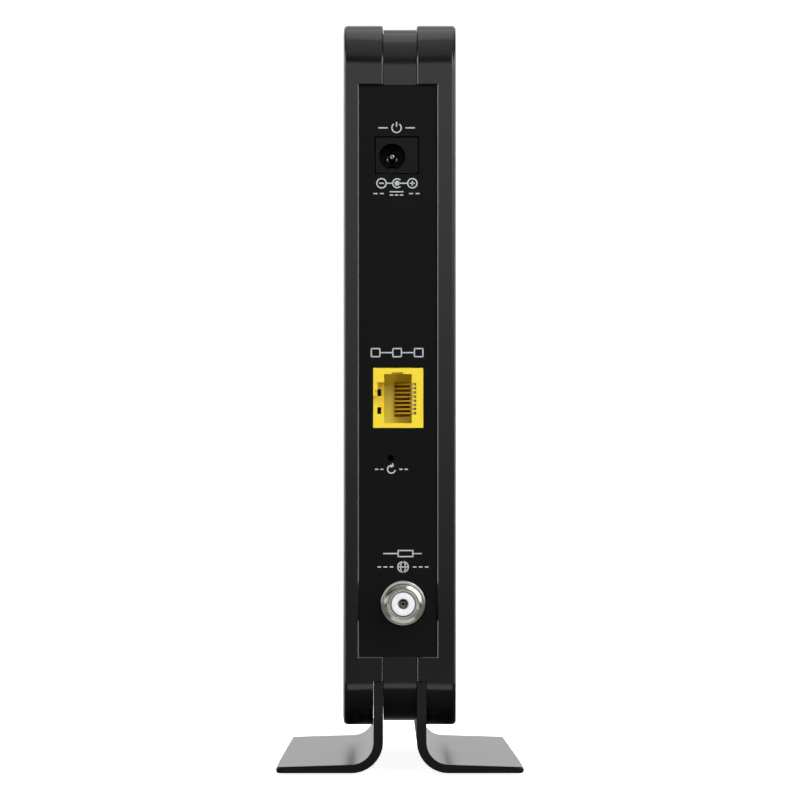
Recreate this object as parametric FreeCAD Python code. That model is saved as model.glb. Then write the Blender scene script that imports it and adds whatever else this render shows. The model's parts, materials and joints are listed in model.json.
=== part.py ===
"""Upright cable modem on two bent-plate feet, as an assembly of separate pieces.

Millimetres. X runs across the narrow case, -Y faces the port side, +Y the indicator side, +Z is up.
The origin is on the floor, at the centre of the whole object's footprint box.
"""

import FreeCAD, Part
import math
import os

Vector = FreeCAD.Vector

# ------------------------------------------------------------------ driving dimensions

TOTAL_HEIGHT = 185.4      # floor to the top of the covers
CASE_DEPTH = 125.0        # port side to indicator side
RIM_WIDTH = 27.4          # across both covers at the port side
SIDE_CROWN = 0.7          # bulge of each side face at mid depth
FLOOR_GAP = 12.0          # floor to the underside of the covers
CORNER_R = 11.0           # rounded corners of the case, seen from the side
WALL = 2.0                # cover wall
EDGE_BEVEL = 0.6          # outer edge between side face and rim
FINE_BEVEL = 0.3          # moulded edge beside the centre band

BAND_HALF = 4.1           # half the width of the centre band
BAND_INSET = 1.0          # band lies this far below the covers
FRAME_WALL = 2.0
FRAME_GAP = 0.05          # assembly clearance beside the band and under the covers
TONGUE_REACH = 2.5        # how far the frame's tongue runs in under each cover

PANEL_LEFT, PANEL_RIGHT = -10.1, 9.15
PANEL_BOTTOM, PANEL_TOP = 29.2, 170.0
PANEL_INSET = 1.15
PANEL_BACK = 3.25         # depth of the panel's rear face below the case surface
PANEL_LIP = 1.25          # flange that hooks behind the covers
PANEL_GAP = 0.1
MOUTH_CHAMFER = 0.28      # bright edge round the panel's recess

FOOT_SPREAD = 61.1        # outside to outside at the port side
FOOT_TAPER = 2.3          # each foot is this much narrower at the indicator side
FOOT_LEG = 2.35           # thickness of the upright leg
FOOT_ROOT, FOOT_TIP = 2.1, 1.55   # thickness of the flat part, beside the bend and at its tip
FOOT_BEND_OUT, FOOT_BEND_IN = 7.8, 5.45
FOOT_CORNER = 1.2         # rounded corners of the foot in plan
PAD_STAND = 0.6           # pads lift the plates off the floor
LEG_TOP = 32.0

COAX_REACH = 8.0          # coax thread stands this far outside the covers
COAX_X, COAX_Z = 0.75, 42.4
THREAD_R = 4.76           # 3/8 inch thread, crest radius
COLLAR_R = 5.55

POWER_X, POWER_Z = -0.79, 152.7        # centre of the jack's face
POWER_W, POWER_H = 10.4, 8.7
POWER_HOLE_X, POWER_HOLE_Z = -1.94, 152.35
POWER_HOLE_R, POWER_HOLE_DEPTH = 3.2, 9.5
POWER_PIN_R = 1.04
POWER_PIN_ROOT = 1.3      # the pin is thicker where the housing holds it

NET_LEFT, NET_RIGHT = -6.6, 5.73       # outline of the network jack's face
NET_BOTTOM, NET_TOP = 85.55, 100.3
NET_DEPTH = 16.0
NET_PROUD = 0.2                        # face stands this far out of the panel
CAVITY_LEFT, CAVITY_RIGHT = -3.87, 2.89
CAVITY_BOTTOM, CAVITY_TOP = 86.69, 98.77
CAVITY_DEPTH = 13.0
CONTACTS = 8
CONTACT_PITCH = 1.02

RESET_X, RESET_Z = -2.26, 78.1
RESET_HOLE_R = 0.8
RESET_TRAVEL = 0.25

BOARD_FACE = 5.8          # component side of the main board
BOARD_THICK = 1.6
BOARD_BOTTOM, BOARD_TOP = 34.0, 176.0

LEDS = 5
LED_WINDOW = (1.0, 1.7)   # half width and half height of one indicator window
LED_TOP, LED_PITCH = 150.0, 9.0

# ------------------------------------------------------------------ places worked out from them

PORT_Y = -(CASE_DEPTH - COAX_REACH) / 2        # plane of the covers at the port side
LED_Y = PORT_Y + CASE_DEPTH                    # the same at the indicator side
MID_Y = PORT_Y + CASE_DEPTH / 2
CASE_BOTTOM, CASE_TOP = FLOOR_GAP, TOTAL_HEIGHT
RIM_HALF = RIM_WIDTH / 2
BAND_SIDE = BAND_HALF - FRAME_GAP
SEAM = BAND_HALF + FRAME_GAP                   # where a cover's rim starts
LEG_OUT = SEAM + FOOT_LEG
FRAME_INNER = BAND_INSET + FRAME_WALL
PANEL_Y = PORT_Y + PANEL_INSET
BOARD_BACK = BOARD_FACE + BOARD_THICK
BOARD_REAR, BOARD_FRONT = PORT_Y + 4.0, LED_Y - 6.0
NET_Y = PANEL_Y - NET_PROUD
NET_MID_Z = (CAVITY_BOTTOM + CAVITY_TOP) / 2
COAX_TIP = PORT_Y - COAX_REACH
SCREW_Y = (MID_Y - 40.0, MID_Y + 40.0)         # foot screws, two to a leg
SCREW_Z = 27.0
BOARD_SCREWS = ((-46.0, 169.0), (54.0, 41.0))   # y, z
BOARD_RESTS = ((54.0, 169.0), (-48.0, 60.0))
SINK_Y, SINK_Z, SINK_SIDE = 12.0, 104.0, 40.0
LED_ZS = [LED_TOP - LED_PITCH * i for i in range(LEDS)]


# ------------------------------------------------------------------ small shape helpers

def box(x0, x1, y0, y1, z0, z1):
    return Part.makeBox(x1 - x0, y1 - y0, z1 - z0, Vector(x0, y0, z0))


def rod_x(radius, x0, x1, y, z):
    return Part.makeCylinder(radius, x1 - x0, Vector(x0, y, z), Vector(1, 0, 0))


def rod_y(radius, y0, y1, x, z):
    return Part.makeCylinder(radius, y1 - y0, Vector(x, y0, z), Vector(0, 1, 0))


def rod_z(radius, z0, z1, x, y):
    return Part.makeCylinder(radius, z1 - z0, Vector(x, y, z0), Vector(0, 0, 1))


def screw_x(head_r, shank_r, seat, head_end, tip, y, z):
    """A small screw along X in few facets: its head from seat to head_end, its shank from seat to tip."""
    pieces = []
    for radius, sides, x0, x1 in ((head_r, 12, seat, head_end), (shank_r, 8, seat, tip)):
        turn = 2 * math.pi / sides
        points = [(x0, y + radius * math.cos(turn * i), z + radius * math.sin(turn * i)) for i in range(sides)]
        pieces.append(prism(points, (x1 - x0, 0, 0)))
    return fused(pieces)


def prism(points, push):
    """A straight-sided outline, pushed along a vector."""
    outline = [Vector(*p) for p in points]
    return Part.Face(Part.makePolygon(outline + outline[:1])).extrude(Vector(*push))


def rounded_outline(u0, u1, v0, v1, radius, place):
    """Rectangle with round corners. place turns its (u, v) into a point in space."""
    k = radius * (1 - math.sqrt(0.5))
    arcs = [((u0, v0 + radius), (u0 + k, v0 + k), (u0 + radius, v0)),
            ((u1 - radius, v0), (u1 - k, v0 + k), (u1, v0 + radius)),
            ((u1, v1 - radius), (u1 - k, v1 - k), (u1 - radius, v1)),
            ((u0 + radius, v1), (u0 + k, v1 - k), (u0, v1 - radius))]
    edges = []
    for i, (start, middle, end) in enumerate(arcs):
        edges.append(Part.Arc(place(*start), place(*middle), place(*end)).toShape())
        following = arcs[(i + 1) % 4][0]
        if math.dist(end, following) > 1e-6:
            edges.append(Part.LineSegment(place(*end), place(*following)).toShape())
    return Part.Wire(edges)


def rounded_box_x(x0, x1, y0, y1, z0, z1, radius):
    """Box along X whose outline in the YZ plane has round corners."""
    wire = rounded_outline(y0, y1, z0, z1, radius, lambda u, v: Vector(x0, u, v))
    return Part.Face(wire).extrude(Vector(x1 - x0, 0, 0))


def case_slab(inset, x0, x1):
    """The case's side outline, drawn in by inset and made solid from x0 to x1."""
    return rounded_box_x(x0, x1, PORT_Y + inset, LED_Y - inset,
                         CASE_BOTTOM + inset, CASE_TOP - inset, CORNER_R - inset)


def ring(outer, inner, x0, x1):
    """A closed band round the case between two insets."""
    return case_slab(outer, x0, x1).cut(case_slab(inner, x0 - 1, x1 + 1))


def crowned_block(inset, x0):
    """Everything between x0 and the right-hand side face, which bulges a little at mid depth."""
    edge = RIM_HALF - inset
    low = CASE_BOTTOM - 1
    corners = [Vector(x0, PORT_Y - 1, low), Vector(edge, PORT_Y - 1, low),
               Vector(edge, LED_Y + 1, low), Vector(x0, LED_Y + 1, low)]
    crest = Vector(edge + SIDE_CROWN, MID_Y, low)
    edges = [Part.LineSegment(corners[0], corners[1]).toShape(),
             Part.Arc(corners[1], crest, corners[2]).toShape(),
             Part.LineSegment(corners[2], corners[3]).toShape(),
             Part.LineSegment(corners[3], corners[0]).toShape()]
    return Part.Face(Part.Wire(edges)).extrude(Vector(0, 0, CASE_TOP - CASE_BOTTOM + 2))


def fused(shapes):
    shapes = list(shapes)
    return shapes[0].multiFuse(shapes[1:]).removeSplitter() if len(shapes) > 1 else shapes[0]


def carved(shape, tools):
    return shape.cut(list(tools))


def mirrored(shape):
    return shape.mirror(Vector(0, 0, 0), Vector(1, 0, 0))


def edges_where(shape, test):
    """Edges all of whose sampled points pass the test."""
    found = []
    for edge in shape.Edges:
        points = edge.discretize(5)
        if all(test(p) for p in points):
            found.append(edge)
    return found


def spun_y(profile, x, z):
    """Solid of revolution about a line along Y. The profile is (radius, y) pairs."""
    points = [Vector(x + r, y, z) for r, y in profile]
    face = Part.Face(Part.makePolygon(points + points[:1]))
    return face.revolve(Vector(x, 0, z), Vector(0, 1, 0), 360)


# ------------------------------------------------------------------ case

VENT_HALF, VENT_WIDE = 5.8, 1.7     # half length and width of one slot
VENT_PITCH, VENTS_IN_ROW = 5.0, 14
VENT_ROWS = (CASE_BOTTOM + 21.0, CASE_TOP - 21.0)
HOOK_YS = (MID_Y - 38.0, MID_Y, MID_Y + 38.0)    # snap hooks along the top run
HOOK_ZS = (60.0, 104.0, 148.0)                   # and up the indicator side
HOOK_HALF, HOOK_RISE = 3.0, 0.8


def vent_slot(y, z):
    """One upright slot, long enough to cut through a side face."""
    x0, x1 = RIM_HALF - WALL - 1.5, RIM_HALF + SIDE_CROWN + 1
    return box(x0, x1, y - VENT_WIDE / 2, y + VENT_WIDE / 2, z - VENT_HALF, z + VENT_HALF)


def vents():
    first = MID_Y - VENT_PITCH * (VENTS_IN_ROW - 1) / 2
    return [vent_slot(first + VENT_PITCH * i, z) for z in VENT_ROWS for i in range(VENTS_IN_ROW)]


def snap_spots():
    """Low and high corners, in Y and Z, of each snap hook on a cover's inner rim."""
    top = CASE_TOP - WALL
    front = LED_Y - WALL
    spots = [(y - HOOK_HALF, y + HOOK_HALF, top - HOOK_RISE, top + 0.2) for y in HOOK_YS]
    spots += [(front - HOOK_RISE, front + 0.2, z - HOOK_HALF, z + HOOK_HALF) for z in HOOK_ZS]
    return spots


def snap_hooks():
    return [box(SEAM + 0.7, SEAM + 1.5, y0, y1, z0, z1) for y0, y1, z0, z1 in snap_spots()]


def snap_windows():
    """Openings in the frame's tongue that the hooks click into, a little larger than the hooks."""
    play = 0.2
    return [box(SEAM + 0.7 - play, SEAM + 1.5 + play, y0 - play, y1 + play, z0 - play, z1 + play)
            for y0, y1, z0, z1 in snap_spots()]


def panel_recess(side):
    """The cut-out for the port panel in the right-hand cover, with a chamfered mouth.

    side is how far the panel reaches from the centre line on this cover.
    """
    hole = box(0, side, PORT_Y - 1, PORT_Y + WALL + 1, PANEL_BOTTOM, PANEL_TOP)
    c = MOUTH_CHAMFER
    inner = [Vector(0, PORT_Y + c, PANEL_BOTTOM), Vector(side, PORT_Y + c, PANEL_BOTTOM),
             Vector(side, PORT_Y + c, PANEL_TOP), Vector(0, PORT_Y + c, PANEL_TOP)]
    outer = [Vector(0, PORT_Y - c, PANEL_BOTTOM - 2 * c), Vector(side + 2 * c, PORT_Y - c, PANEL_BOTTOM - 2 * c),
             Vector(side + 2 * c, PORT_Y - c, PANEL_TOP + 2 * c), Vector(0, PORT_Y - c, PANEL_TOP + 2 * c)]
    mouth = Part.makeLoft([Part.makePolygon(inner + inner[:1]), Part.makePolygon(outer + outer[:1])], True, True)
    return [hole, mouth]


def plain_cover(panel_side):
    """A right-hand cover: outer skin with bevelled edges, hollowed, slotted and cut for leg and panel."""
    skin = case_slab(0, SEAM, RIM_HALF + SIDE_CROWN + 2).common(crowned_block(0, SEAM))
    seam_edges = edges_where(skin, lambda p: abs(p.x - SEAM) < 1e-3)
    skin = skin.makeChamfer(FINE_BEVEL, seam_edges)
    far_edges = edges_where(skin, lambda p: p.x > RIM_HALF - 0.5)
    skin = skin.makeChamfer(EDGE_BEVEL, far_edges)
    hollow = case_slab(WALL, SEAM - 1, RIM_HALF + 5).common(crowned_block(WALL, SEAM - 1))
    cover = skin.cut(hollow)
    leg_slot = box(0, LEG_OUT + 0.1, PORT_Y - 1, LED_Y + 1, 0, CASE_BOTTOM + CORNER_R + 0.2)
    cover = carved(cover, [leg_slot] + panel_recess(panel_side) + vents())
    return fused([cover] + snap_hooks())


def stiffening_ribs():
    """Low ribs across the inside of a side face, between the two vent rows."""
    floor = RIM_HALF - WALL
    return [box(floor - 1.6, floor + 1.2, MID_Y - 52, MID_Y + 52, z - 0.6, z + 0.6)
            for z in (64.0, 134.0)]


def left_cover():
    cover = plain_cover(-PANEL_LEFT)
    return mirrored(fused([cover] + stiffening_ribs()))


def right_cover():
    """Carries the main board on two hollow screw posts and two crossed rests."""
    cover = plain_cover(PANEL_RIGHT)
    floor = RIM_HALF - WALL + 1.2
    posts = [rod_x(3.0, BOARD_BACK, floor, y, z) for y, z in BOARD_SCREWS]
    for y, z in BOARD_RESTS:
        posts.append(box(BOARD_BACK, floor, y - 3, y + 3, z - 0.7, z + 0.7))
        posts.append(box(BOARD_BACK, floor, y - 0.7, y + 0.7, z - 3, z + 3))
    bores = [rod_x(1.25, BOARD_BACK - 1, floor - 0.6, y, z) for y, z in BOARD_SCREWS]
    return carved(fused([cover] + posts), bores)


def band_vents(z0, z1):
    """Cross slots through the band's top or bottom run."""
    ys = [MID_Y - 42 + 7 * i for i in range(13)]
    return [box(-2.5, 2.5, y - 1.0, y + 1.0, z0, z1) for y in ys]


def centre_frame():
    """The band seen between the covers, with a tongue under each cover's rim and bosses for the feet."""
    band = ring(BAND_INSET, FRAME_INNER, -BAND_SIDE, BAND_SIDE)
    reach = BAND_SIDE + TONGUE_REACH
    tongue = ring(WALL + FRAME_GAP, FRAME_INNER, -reach, reach)
    leg_rooms = [box(BAND_SIDE, reach + 1, PORT_Y, LED_Y, 0, LEG_TOP + 0.6)]
    leg_rooms += [mirrored(leg_rooms[0])]
    windows = snap_windows()
    windows += [mirrored(w) for w in windows]
    frame = fused([band, carved(tongue, leg_rooms + windows)])
    boss_foot = CASE_BOTTOM + FRAME_INNER - 0.2
    bosses = [rod_x(2.7, -BAND_SIDE, BAND_SIDE, y, SCREW_Z) for y in SCREW_Y]
    webs = [box(-BAND_SIDE, BAND_SIDE, y - 0.8, y + 0.8, boss_foot, SCREW_Z) for y in SCREW_Y]
    frame = fused([frame] + bosses + webs)
    front = PORT_Y + WALL
    outer_cut = box(-20, 20, PORT_Y, front, PANEL_BOTTOM, PANEL_TOP)
    inner_cut = box(-20, 20, front, PORT_Y + 6, PANEL_BOTTOM - PANEL_LIP, PANEL_TOP + PANEL_LIP)
    cuts = [outer_cut, inner_cut]
    cuts += [rod_x(0.8, -BAND_SIDE - 1, BAND_SIDE + 1, y, SCREW_Z) for y in SCREW_Y]
    half_x, half_z = LED_WINDOW
    cuts += [box(-half_x - 0.05, half_x + 0.05, LED_Y - 5, LED_Y, z - half_z - 0.05, z + half_z + 0.05)
             for z in LED_ZS]
    cuts += band_vents(CASE_TOP - 6, CASE_TOP)
    cuts += band_vents(CASE_BOTTOM, CASE_BOTTOM + 5)
    return carved(frame, cuts)


def port_panel():
    """Plate with the port openings, let into the covers from behind by its flange."""
    g = PANEL_GAP
    back = PORT_Y + PANEL_BACK
    plate = box(PANEL_LEFT + g, PANEL_RIGHT - g, PANEL_Y, back, PANEL_BOTTOM + g, PANEL_TOP - g)
    lip = PANEL_LIP - g
    flange = box(PANEL_LEFT - lip, PANEL_RIGHT + lip, PORT_Y + WALL + FRAME_GAP, back,
                 PANEL_BOTTOM - lip, PANEL_TOP + lip)
    y0, y1 = PORT_Y - 1, back + 1
    half_w, half_h = POWER_W / 2 + 0.25, POWER_H / 2 + 0.3
    openings = [box(POWER_X - half_w, POWER_X + half_w, y0, y1, POWER_Z - half_h, POWER_Z + half_h),
                box(NET_LEFT - 0.25, NET_RIGHT + 0.25, y0, y1, NET_BOTTOM - 0.3, NET_TOP + 0.25),
                rod_y(COLLAR_R + 0.2, y0, y1, COAX_X, COAX_Z),
                rod_y(RESET_HOLE_R, y0, y1, RESET_X, RESET_Z)]
    return carved(fused([plate, flange]), openings)


# ------------------------------------------------------------------ feet

def foot_section():
    """The bent plate seen from the port side: upright leg, quarter bend, thinning flat part."""
    low = PAD_STAND
    centre_x, centre_z = SEAM + FOOT_BEND_OUT, low + FOOT_BEND_OUT
    tip = FOOT_SPREAD / 2
    top_root = low + FOOT_ROOT
    s = math.sqrt(0.5)
    half = FOOT_TIP / 2
    in_x, in_z = centre_x - LEG_OUT, centre_z - top_root      # half axes of the inner bend
    points = {
        "leg_in": Vector(SEAM, 0, LEG_TOP), "leg_out": Vector(LEG_OUT, 0, LEG_TOP),
        "in_top": Vector(LEG_OUT, 0, centre_z), "in_end": Vector(centre_x, 0, top_root),
        "tip_top": Vector(tip - half, 0, low + FOOT_TIP), "tip": Vector(tip, 0, low + half),
        "tip_low": Vector(tip - half, 0, low), "out_low": Vector(centre_x, 0, low),
        "out_top": Vector(SEAM, 0, centre_z)}
    inner_mid = Vector(centre_x - in_x * s, 0, centre_z - in_z * s)
    outer_mid = Vector(centre_x - FOOT_BEND_OUT * s, 0, centre_z - FOOT_BEND_OUT * s)
    line = lambda a, b: Part.LineSegment(points[a], points[b]).toShape()
    arc = lambda a, m, b: Part.Arc(points[a], m, points[b]).toShape()
    edges = [line("leg_in", "leg_out"), line("leg_out", "in_top"), arc("in_top", inner_mid, "in_end"),
             line("in_end", "tip_top"), arc("tip_top", points["tip"], "tip_low"),
             line("tip_low", "out_low"), arc("out_low", outer_mid, "out_top"), line("out_top", "leg_in")]
    return Part.Face(Part.Wire(edges))


def foot_side_outline():
    """Seen from the side: full case depth up to the end of the case's corners, then a tab inside."""
    inset = PANEL_BACK + 0.15
    shoulder = CASE_BOTTOM + CORNER_R
    points = [(0, PORT_Y, -1), (0, LED_Y, -1), (0, LED_Y, shoulder), (0, LED_Y - inset, shoulder),
              (0, LED_Y - inset, LEG_TOP), (0, PORT_Y + inset, LEG_TOP), (0, PORT_Y + inset, shoulder),
              (0, PORT_Y, shoulder)]
    return prism(points, (FOOT_SPREAD, 0, 0))


def foot_plan_outline():
    """Seen from above: tapers towards the indicator side, with rounded outer corners."""
    near, far = FOOT_SPREAD / 2, FOOT_SPREAD / 2 - FOOT_TAPER
    block = prism([(0, PORT_Y, -1), (near, PORT_Y, -1), (far, LED_Y, -1), (0, LED_Y, -1)], (0, 0, 40))
    corners = edges_where(block, lambda p: p.x > far - 1 and abs(abs(p.y - MID_Y) - CASE_DEPTH / 2) < 1e-3)
    uprights = [e for e in corners if abs(e.Vertexes[0].Z - e.Vertexes[-1].Z) > 30]
    return block.makeFillet(FOOT_CORNER, uprights)


PAD_LONG, PAD_WIDE, PAD_CUT = 16.0, 7.0, 1.5
PAD_X = 21.0
PAD_YS = (MID_Y - 46.0, MID_Y + 46.0)


def pad(x, y):
    """Flat pad with cut corners, stuck under a foot."""
    a, b, c = PAD_WIDE / 2, PAD_LONG / 2, PAD_CUT
    corners = [(-a + c, -b), (a - c, -b), (a, -b + c), (a, b - c), (a - c, b), (-a + c, b), (-a, b - c), (-a, -b + c)]
    return prism([(x + u, y + v, 0) for u, v in corners], (0, 0, PAD_STAND))


def right_foot():
    sweep = foot_section().extrude(Vector(0, CASE_DEPTH, 0))
    sweep.translate(Vector(0, PORT_Y, 0))
    foot = sweep.common(foot_side_outline()).common(foot_plan_outline())
    cuts = [rod_x(1.05, SEAM - 1, LEG_OUT + 1, y, SCREW_Z) for y in SCREW_Y]
    return carved(foot, cuts)


def foot_pads():
    pads = [pad(PAD_X, y) for y in PAD_YS]
    return pads + [mirrored(p) for p in pads]


def foot_screws():
    """Pan-head screws through each leg into the frame's bosses."""
    screws = [screw_x(2.0, 0.78, LEG_OUT, LEG_OUT + 1.2, 0.9, y, SCREW_Z) for y in SCREW_Y]
    return screws + [mirrored(s) for s in screws]


# ------------------------------------------------------------------ power jack

def power_jack_housing():
    face, end = PANEL_Y + 0.25, PANEL_Y + 14.2
    x0, x1 = POWER_X - POWER_W / 2, POWER_X + POWER_W / 2
    z0, z1 = POWER_Z - POWER_H / 2, POWER_Z + POWER_H / 2
    front = box(x0, x1, face, end, z0, z1)
    base = box(x1 - 1, BOARD_FACE, BOARD_REAR, end, z0, z1)
    bore = rod_y(POWER_HOLE_R, face - 1, face + POWER_HOLE_DEPTH, POWER_HOLE_X, POWER_HOLE_Z)
    pin_seat = rod_y(POWER_PIN_ROOT, face, end + 1, POWER_HOLE_X, POWER_HOLE_Z)
    spring_slot = box(POWER_HOLE_X - 0.75, POWER_HOLE_X + 0.75, face + 1.2, end + 1, z0 + 0.75, POWER_HOLE_Z - 2.0)
    return carved(fused([front, base]), [bore, pin_seat, spring_slot])


def power_jack_pin():
    """Centre pin with a tapered tip, held in the back of the jack, with a lug to the board."""
    tip, end = PANEL_Y + 1.0, PANEL_Y + 14.2
    seat = PANEL_Y + 0.25 + POWER_HOLE_DEPTH + 0.02
    r, root = POWER_PIN_R, POWER_PIN_ROOT - 0.01
    profile = [(0, tip), (0.7, tip), (r, tip + 0.5), (r, seat), (root, seat), (root, end), (0, end)]
    pin = spun_y(profile, POWER_HOLE_X, POWER_HOLE_Z)
    lug = box(POWER_HOLE_X - 1.6, BOARD_FACE + 0.9, end, end + 0.5, POWER_HOLE_Z - 1.1, POWER_HOLE_Z + 1.1)
    return fused([pin, lug])


def power_jack_spring():
    """Leaf that presses on the plug's sleeve from below."""
    face = PANEL_Y + 0.25
    low = POWER_HOLE_Z - 3.1
    t = 0.3
    line = [(face + 1.6, low + 0.1), (face + 4.0, low + 0.75), (face + 7.0, low + 0.1), (face + 13.6, low + 0.1)]
    over = [(y, z + t) for y, z in reversed(line)]
    return prism([(POWER_HOLE_X - 0.6, y, z) for y, z in line + over], (1.2, 0, 0))


# ------------------------------------------------------------------ network jack

LATCH_LEFT, LATCH_BOTTOM, LATCH_TOP = -5.56, 88.99, 96.75
LATCH_DEPTH = 7.5
COMB_RIGHT = CAVITY_RIGHT + 1.1
WIRE_WIDE, WIRE_THICK = 0.46, 0.3


def contact_zs():
    return [NET_MID_Z + CONTACT_PITCH * (i - (CONTACTS - 1) / 2) for i in range(CONTACTS)]


def ethernet_jack_housing():
    """Side-entry jack, latch towards -X: plug cavity, latch recess with core-outs, and the contact comb."""
    face, end = NET_Y, NET_Y + NET_DEPTH
    shell = box(NET_LEFT, NET_RIGHT, face, end, NET_BOTTOM, NET_TOP)
    cavity = box(CAVITY_LEFT, CAVITY_RIGHT, face - 1, face + CAVITY_DEPTH, CAVITY_BOTTOM, CAVITY_TOP)
    latch = box(LATCH_LEFT, CAVITY_LEFT + 0.1, face - 1, face + LATCH_DEPTH, LATCH_BOTTOM, LATCH_TOP)
    windows = [box(LATCH_LEFT, LATCH_LEFT + 0.95, face, end + 1, z, z + 1.65) for z in (LATCH_BOTTOM, 93.45)]
    windows.append(box(LATCH_LEFT - 0.5, LATCH_LEFT + 0.1, face - 1, face + 4.0, 93.9, 94.9))
    windows.append(box(NET_LEFT - 1, LATCH_LEFT + 0.1, face - 1, face + 1.2, 90.7, 93.3))
    mid_x = -0.58
    grooves = [box(mid_x - 1.35, mid_x + 1.35, face - 1, face + 3.5, CAVITY_BOTTOM - 0.42, CAVITY_TOP + 0.44)]
    half = 0.3
    comb = [box(CAVITY_RIGHT - 0.1, COMB_RIGHT, face - 1, face + 9.0, z - half, z + half) for z in contact_zs()]
    corner = box(BOARD_FACE - 0.1, NET_RIGHT + 1, BOARD_REAR - 0.2, end + 1, NET_BOTTOM - 1, NET_TOP + 1)
    return carved(shell, [cavity, latch, corner] + windows + grooves + comb)


def ethernet_jack_insert():
    """Contact carrier at the back of the cavity, with the long sloped shoulder above its face."""
    y_face, y_end = NET_Y + 10.0, NET_Y + CAVITY_DEPTH
    gap = 0.04
    low, high = CAVITY_BOTTOM + gap, CAVITY_TOP - gap
    x0, x1 = CAVITY_LEFT + gap, CAVITY_RIGHT - gap
    points = [(x0, y_end - gap, low), (x0, y_face - 0.4, low), (x0, y_face, low + 0.3), (x0, y_face, high - 2.7),
              (x0, y_face - 2.6, high), (x0, y_end - gap, high)]
    return prism(points, (x1 - x0, 0, 0))


def ethernet_jack_contacts():
    """Eight sprung wires: back along the comb, round a tight bend at the mouth, then sloping in."""
    near, far = NET_Y + 0.9, NET_Y + 9.4
    run_x, lift_x, end_x = COMB_RIGHT - 0.15, CAVITY_RIGHT - 0.1, -1.45
    t = WIRE_THICK
    wires = []
    for z in contact_zs():
        outline = [(run_x, near + 8.0), (run_x, near - 0.35), (lift_x, near - 0.35), (end_x, far),
                   (end_x + 0.28, far + 0.13), (lift_x + 0.1, near - 0.35 + t), (run_x - t, near - 0.35 + t),
                   (run_x - t, near + 8.0)]
        wires.append(prism([(x, y, z - WIRE_WIDE / 2) for x, y in outline], (0, 0, WIRE_WIDE)))
    return wires


# ------------------------------------------------------------------ reset switch

SWITCH_SIDE = 6.0
SWITCH_FACE = PORT_Y + 7.4
SWITCH_END = SWITCH_FACE + 3.4


def reset_switch_body():
    half = SWITCH_SIDE / 2
    body = box(RESET_X - half, RESET_X + half, SWITCH_FACE + 0.3, SWITCH_END, RESET_Z - half, RESET_Z + half)
    return body.cut(rod_y(2.3, SWITCH_FACE, SWITCH_FACE + 1.8, RESET_X, RESET_Z))


def reset_switch_bracket():
    """Folded steel cover whose two legs carry the switch out to the board."""
    half = SWITCH_SIDE / 2
    t = 0.3
    face = box(RESET_X - half, RESET_X + half, SWITCH_FACE, SWITCH_FACE + t, RESET_Z - half - t, RESET_Z + half + t)
    face = face.cut(rod_y(1.75, SWITCH_FACE - 1, SWITCH_FACE + 1, RESET_X, RESET_Z))
    legs = [box(RESET_X - half, BOARD_FACE, SWITCH_FACE, SWITCH_END, z, z + t)
            for z in (RESET_Z - half - t, RESET_Z + half)]
    return fused([face] + legs)


def reset_switch_terminals():
    """Two contact strips from the back of the switch to the board."""
    x0 = RESET_X - 1.0
    return [box(x0, BOARD_FACE, SWITCH_END, SWITCH_END + 0.25, z - 0.35, z + 0.35)
            for z in (RESET_Z - 2.25, RESET_Z + 2.25)]


def reset_snap_dome():
    """Thin sprung disc that the plunger collapses."""
    y0 = SWITCH_FACE + 1.65
    return rod_y(2.1, y0, y0 + 0.1, RESET_X, RESET_Z)


def reset_plunger():
    """Black button behind the pinhole, held in by a flange under the bracket."""
    tip = PORT_Y + PANEL_BACK + 0.75
    under = SWITCH_FACE + 0.35
    profile = [(0, tip), (1.6, tip), (1.6, under), (2.15, under), (2.15, under + 1.0), (0, under + 1.0)]
    return spun_y(profile, RESET_X, RESET_Z)


# ------------------------------------------------------------------ coax connector

def coax_connector_body():
    """Nickel-plated barrel with a bevelled lip, on a square block behind the panel."""
    tip, collar = COAX_TIP, PANEL_Y - 0.6
    block_end = PORT_Y + 12.0
    lip = [(2.95, tip), (4.3, tip), (THREAD_R, tip + 0.6)]
    rest = [(THREAD_R, collar), (COLLAR_R, collar), (COLLAR_R, PORT_Y + 3.6), (2.95, PORT_Y + 3.6)]
    barrel = spun_y(lip + rest, COAX_X, COAX_Z)
    half = BOARD_FACE - COAX_X
    block = box(COAX_X - half, BOARD_FACE, PORT_Y + 3.6, block_end, COAX_Z - half, COAX_Z + half)
    bore = rod_y(2.95, PORT_Y + 3, block_end + 1, COAX_X, COAX_Z)
    return fused([barrel, carved(block, [bore])])


def coax_insulator():
    """White core that fills the barrel, open at the front round the centre contact."""
    front, back = COAX_TIP + 0.9, PORT_Y + 12.0
    core = rod_y(2.9, front, back, COAX_X, COAX_Z)
    return carved(core, [rod_y(1.29, front - 1, front + 4.0, COAX_X, COAX_Z), rod_y(0.9, front, back + 1, COAX_X, COAX_Z)])


def coax_centre_contact():
    """Tube that grips the cable's centre wire, with a tail down to the board."""
    front, back = COAX_TIP + 2.2, PORT_Y + 13.0
    tube = rod_y(0.85, front, back, COAX_X, COAX_Z).cut(rod_y(0.35, front - 1, front + 6, COAX_X, COAX_Z))
    tail = box(COAX_X - 0.4, BOARD_FACE, back - 0.8, back, COAX_Z - 0.4, COAX_Z + 0.4)
    return fused([tube, tail])


# ------------------------------------------------------------------ main board and what stands on it

def on_board(height, y0, y1, z0, z1):
    """A block that stands on the component side of the board."""
    return box(BOARD_FACE - height, BOARD_FACE, y0, y1, z0, z1)


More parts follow.
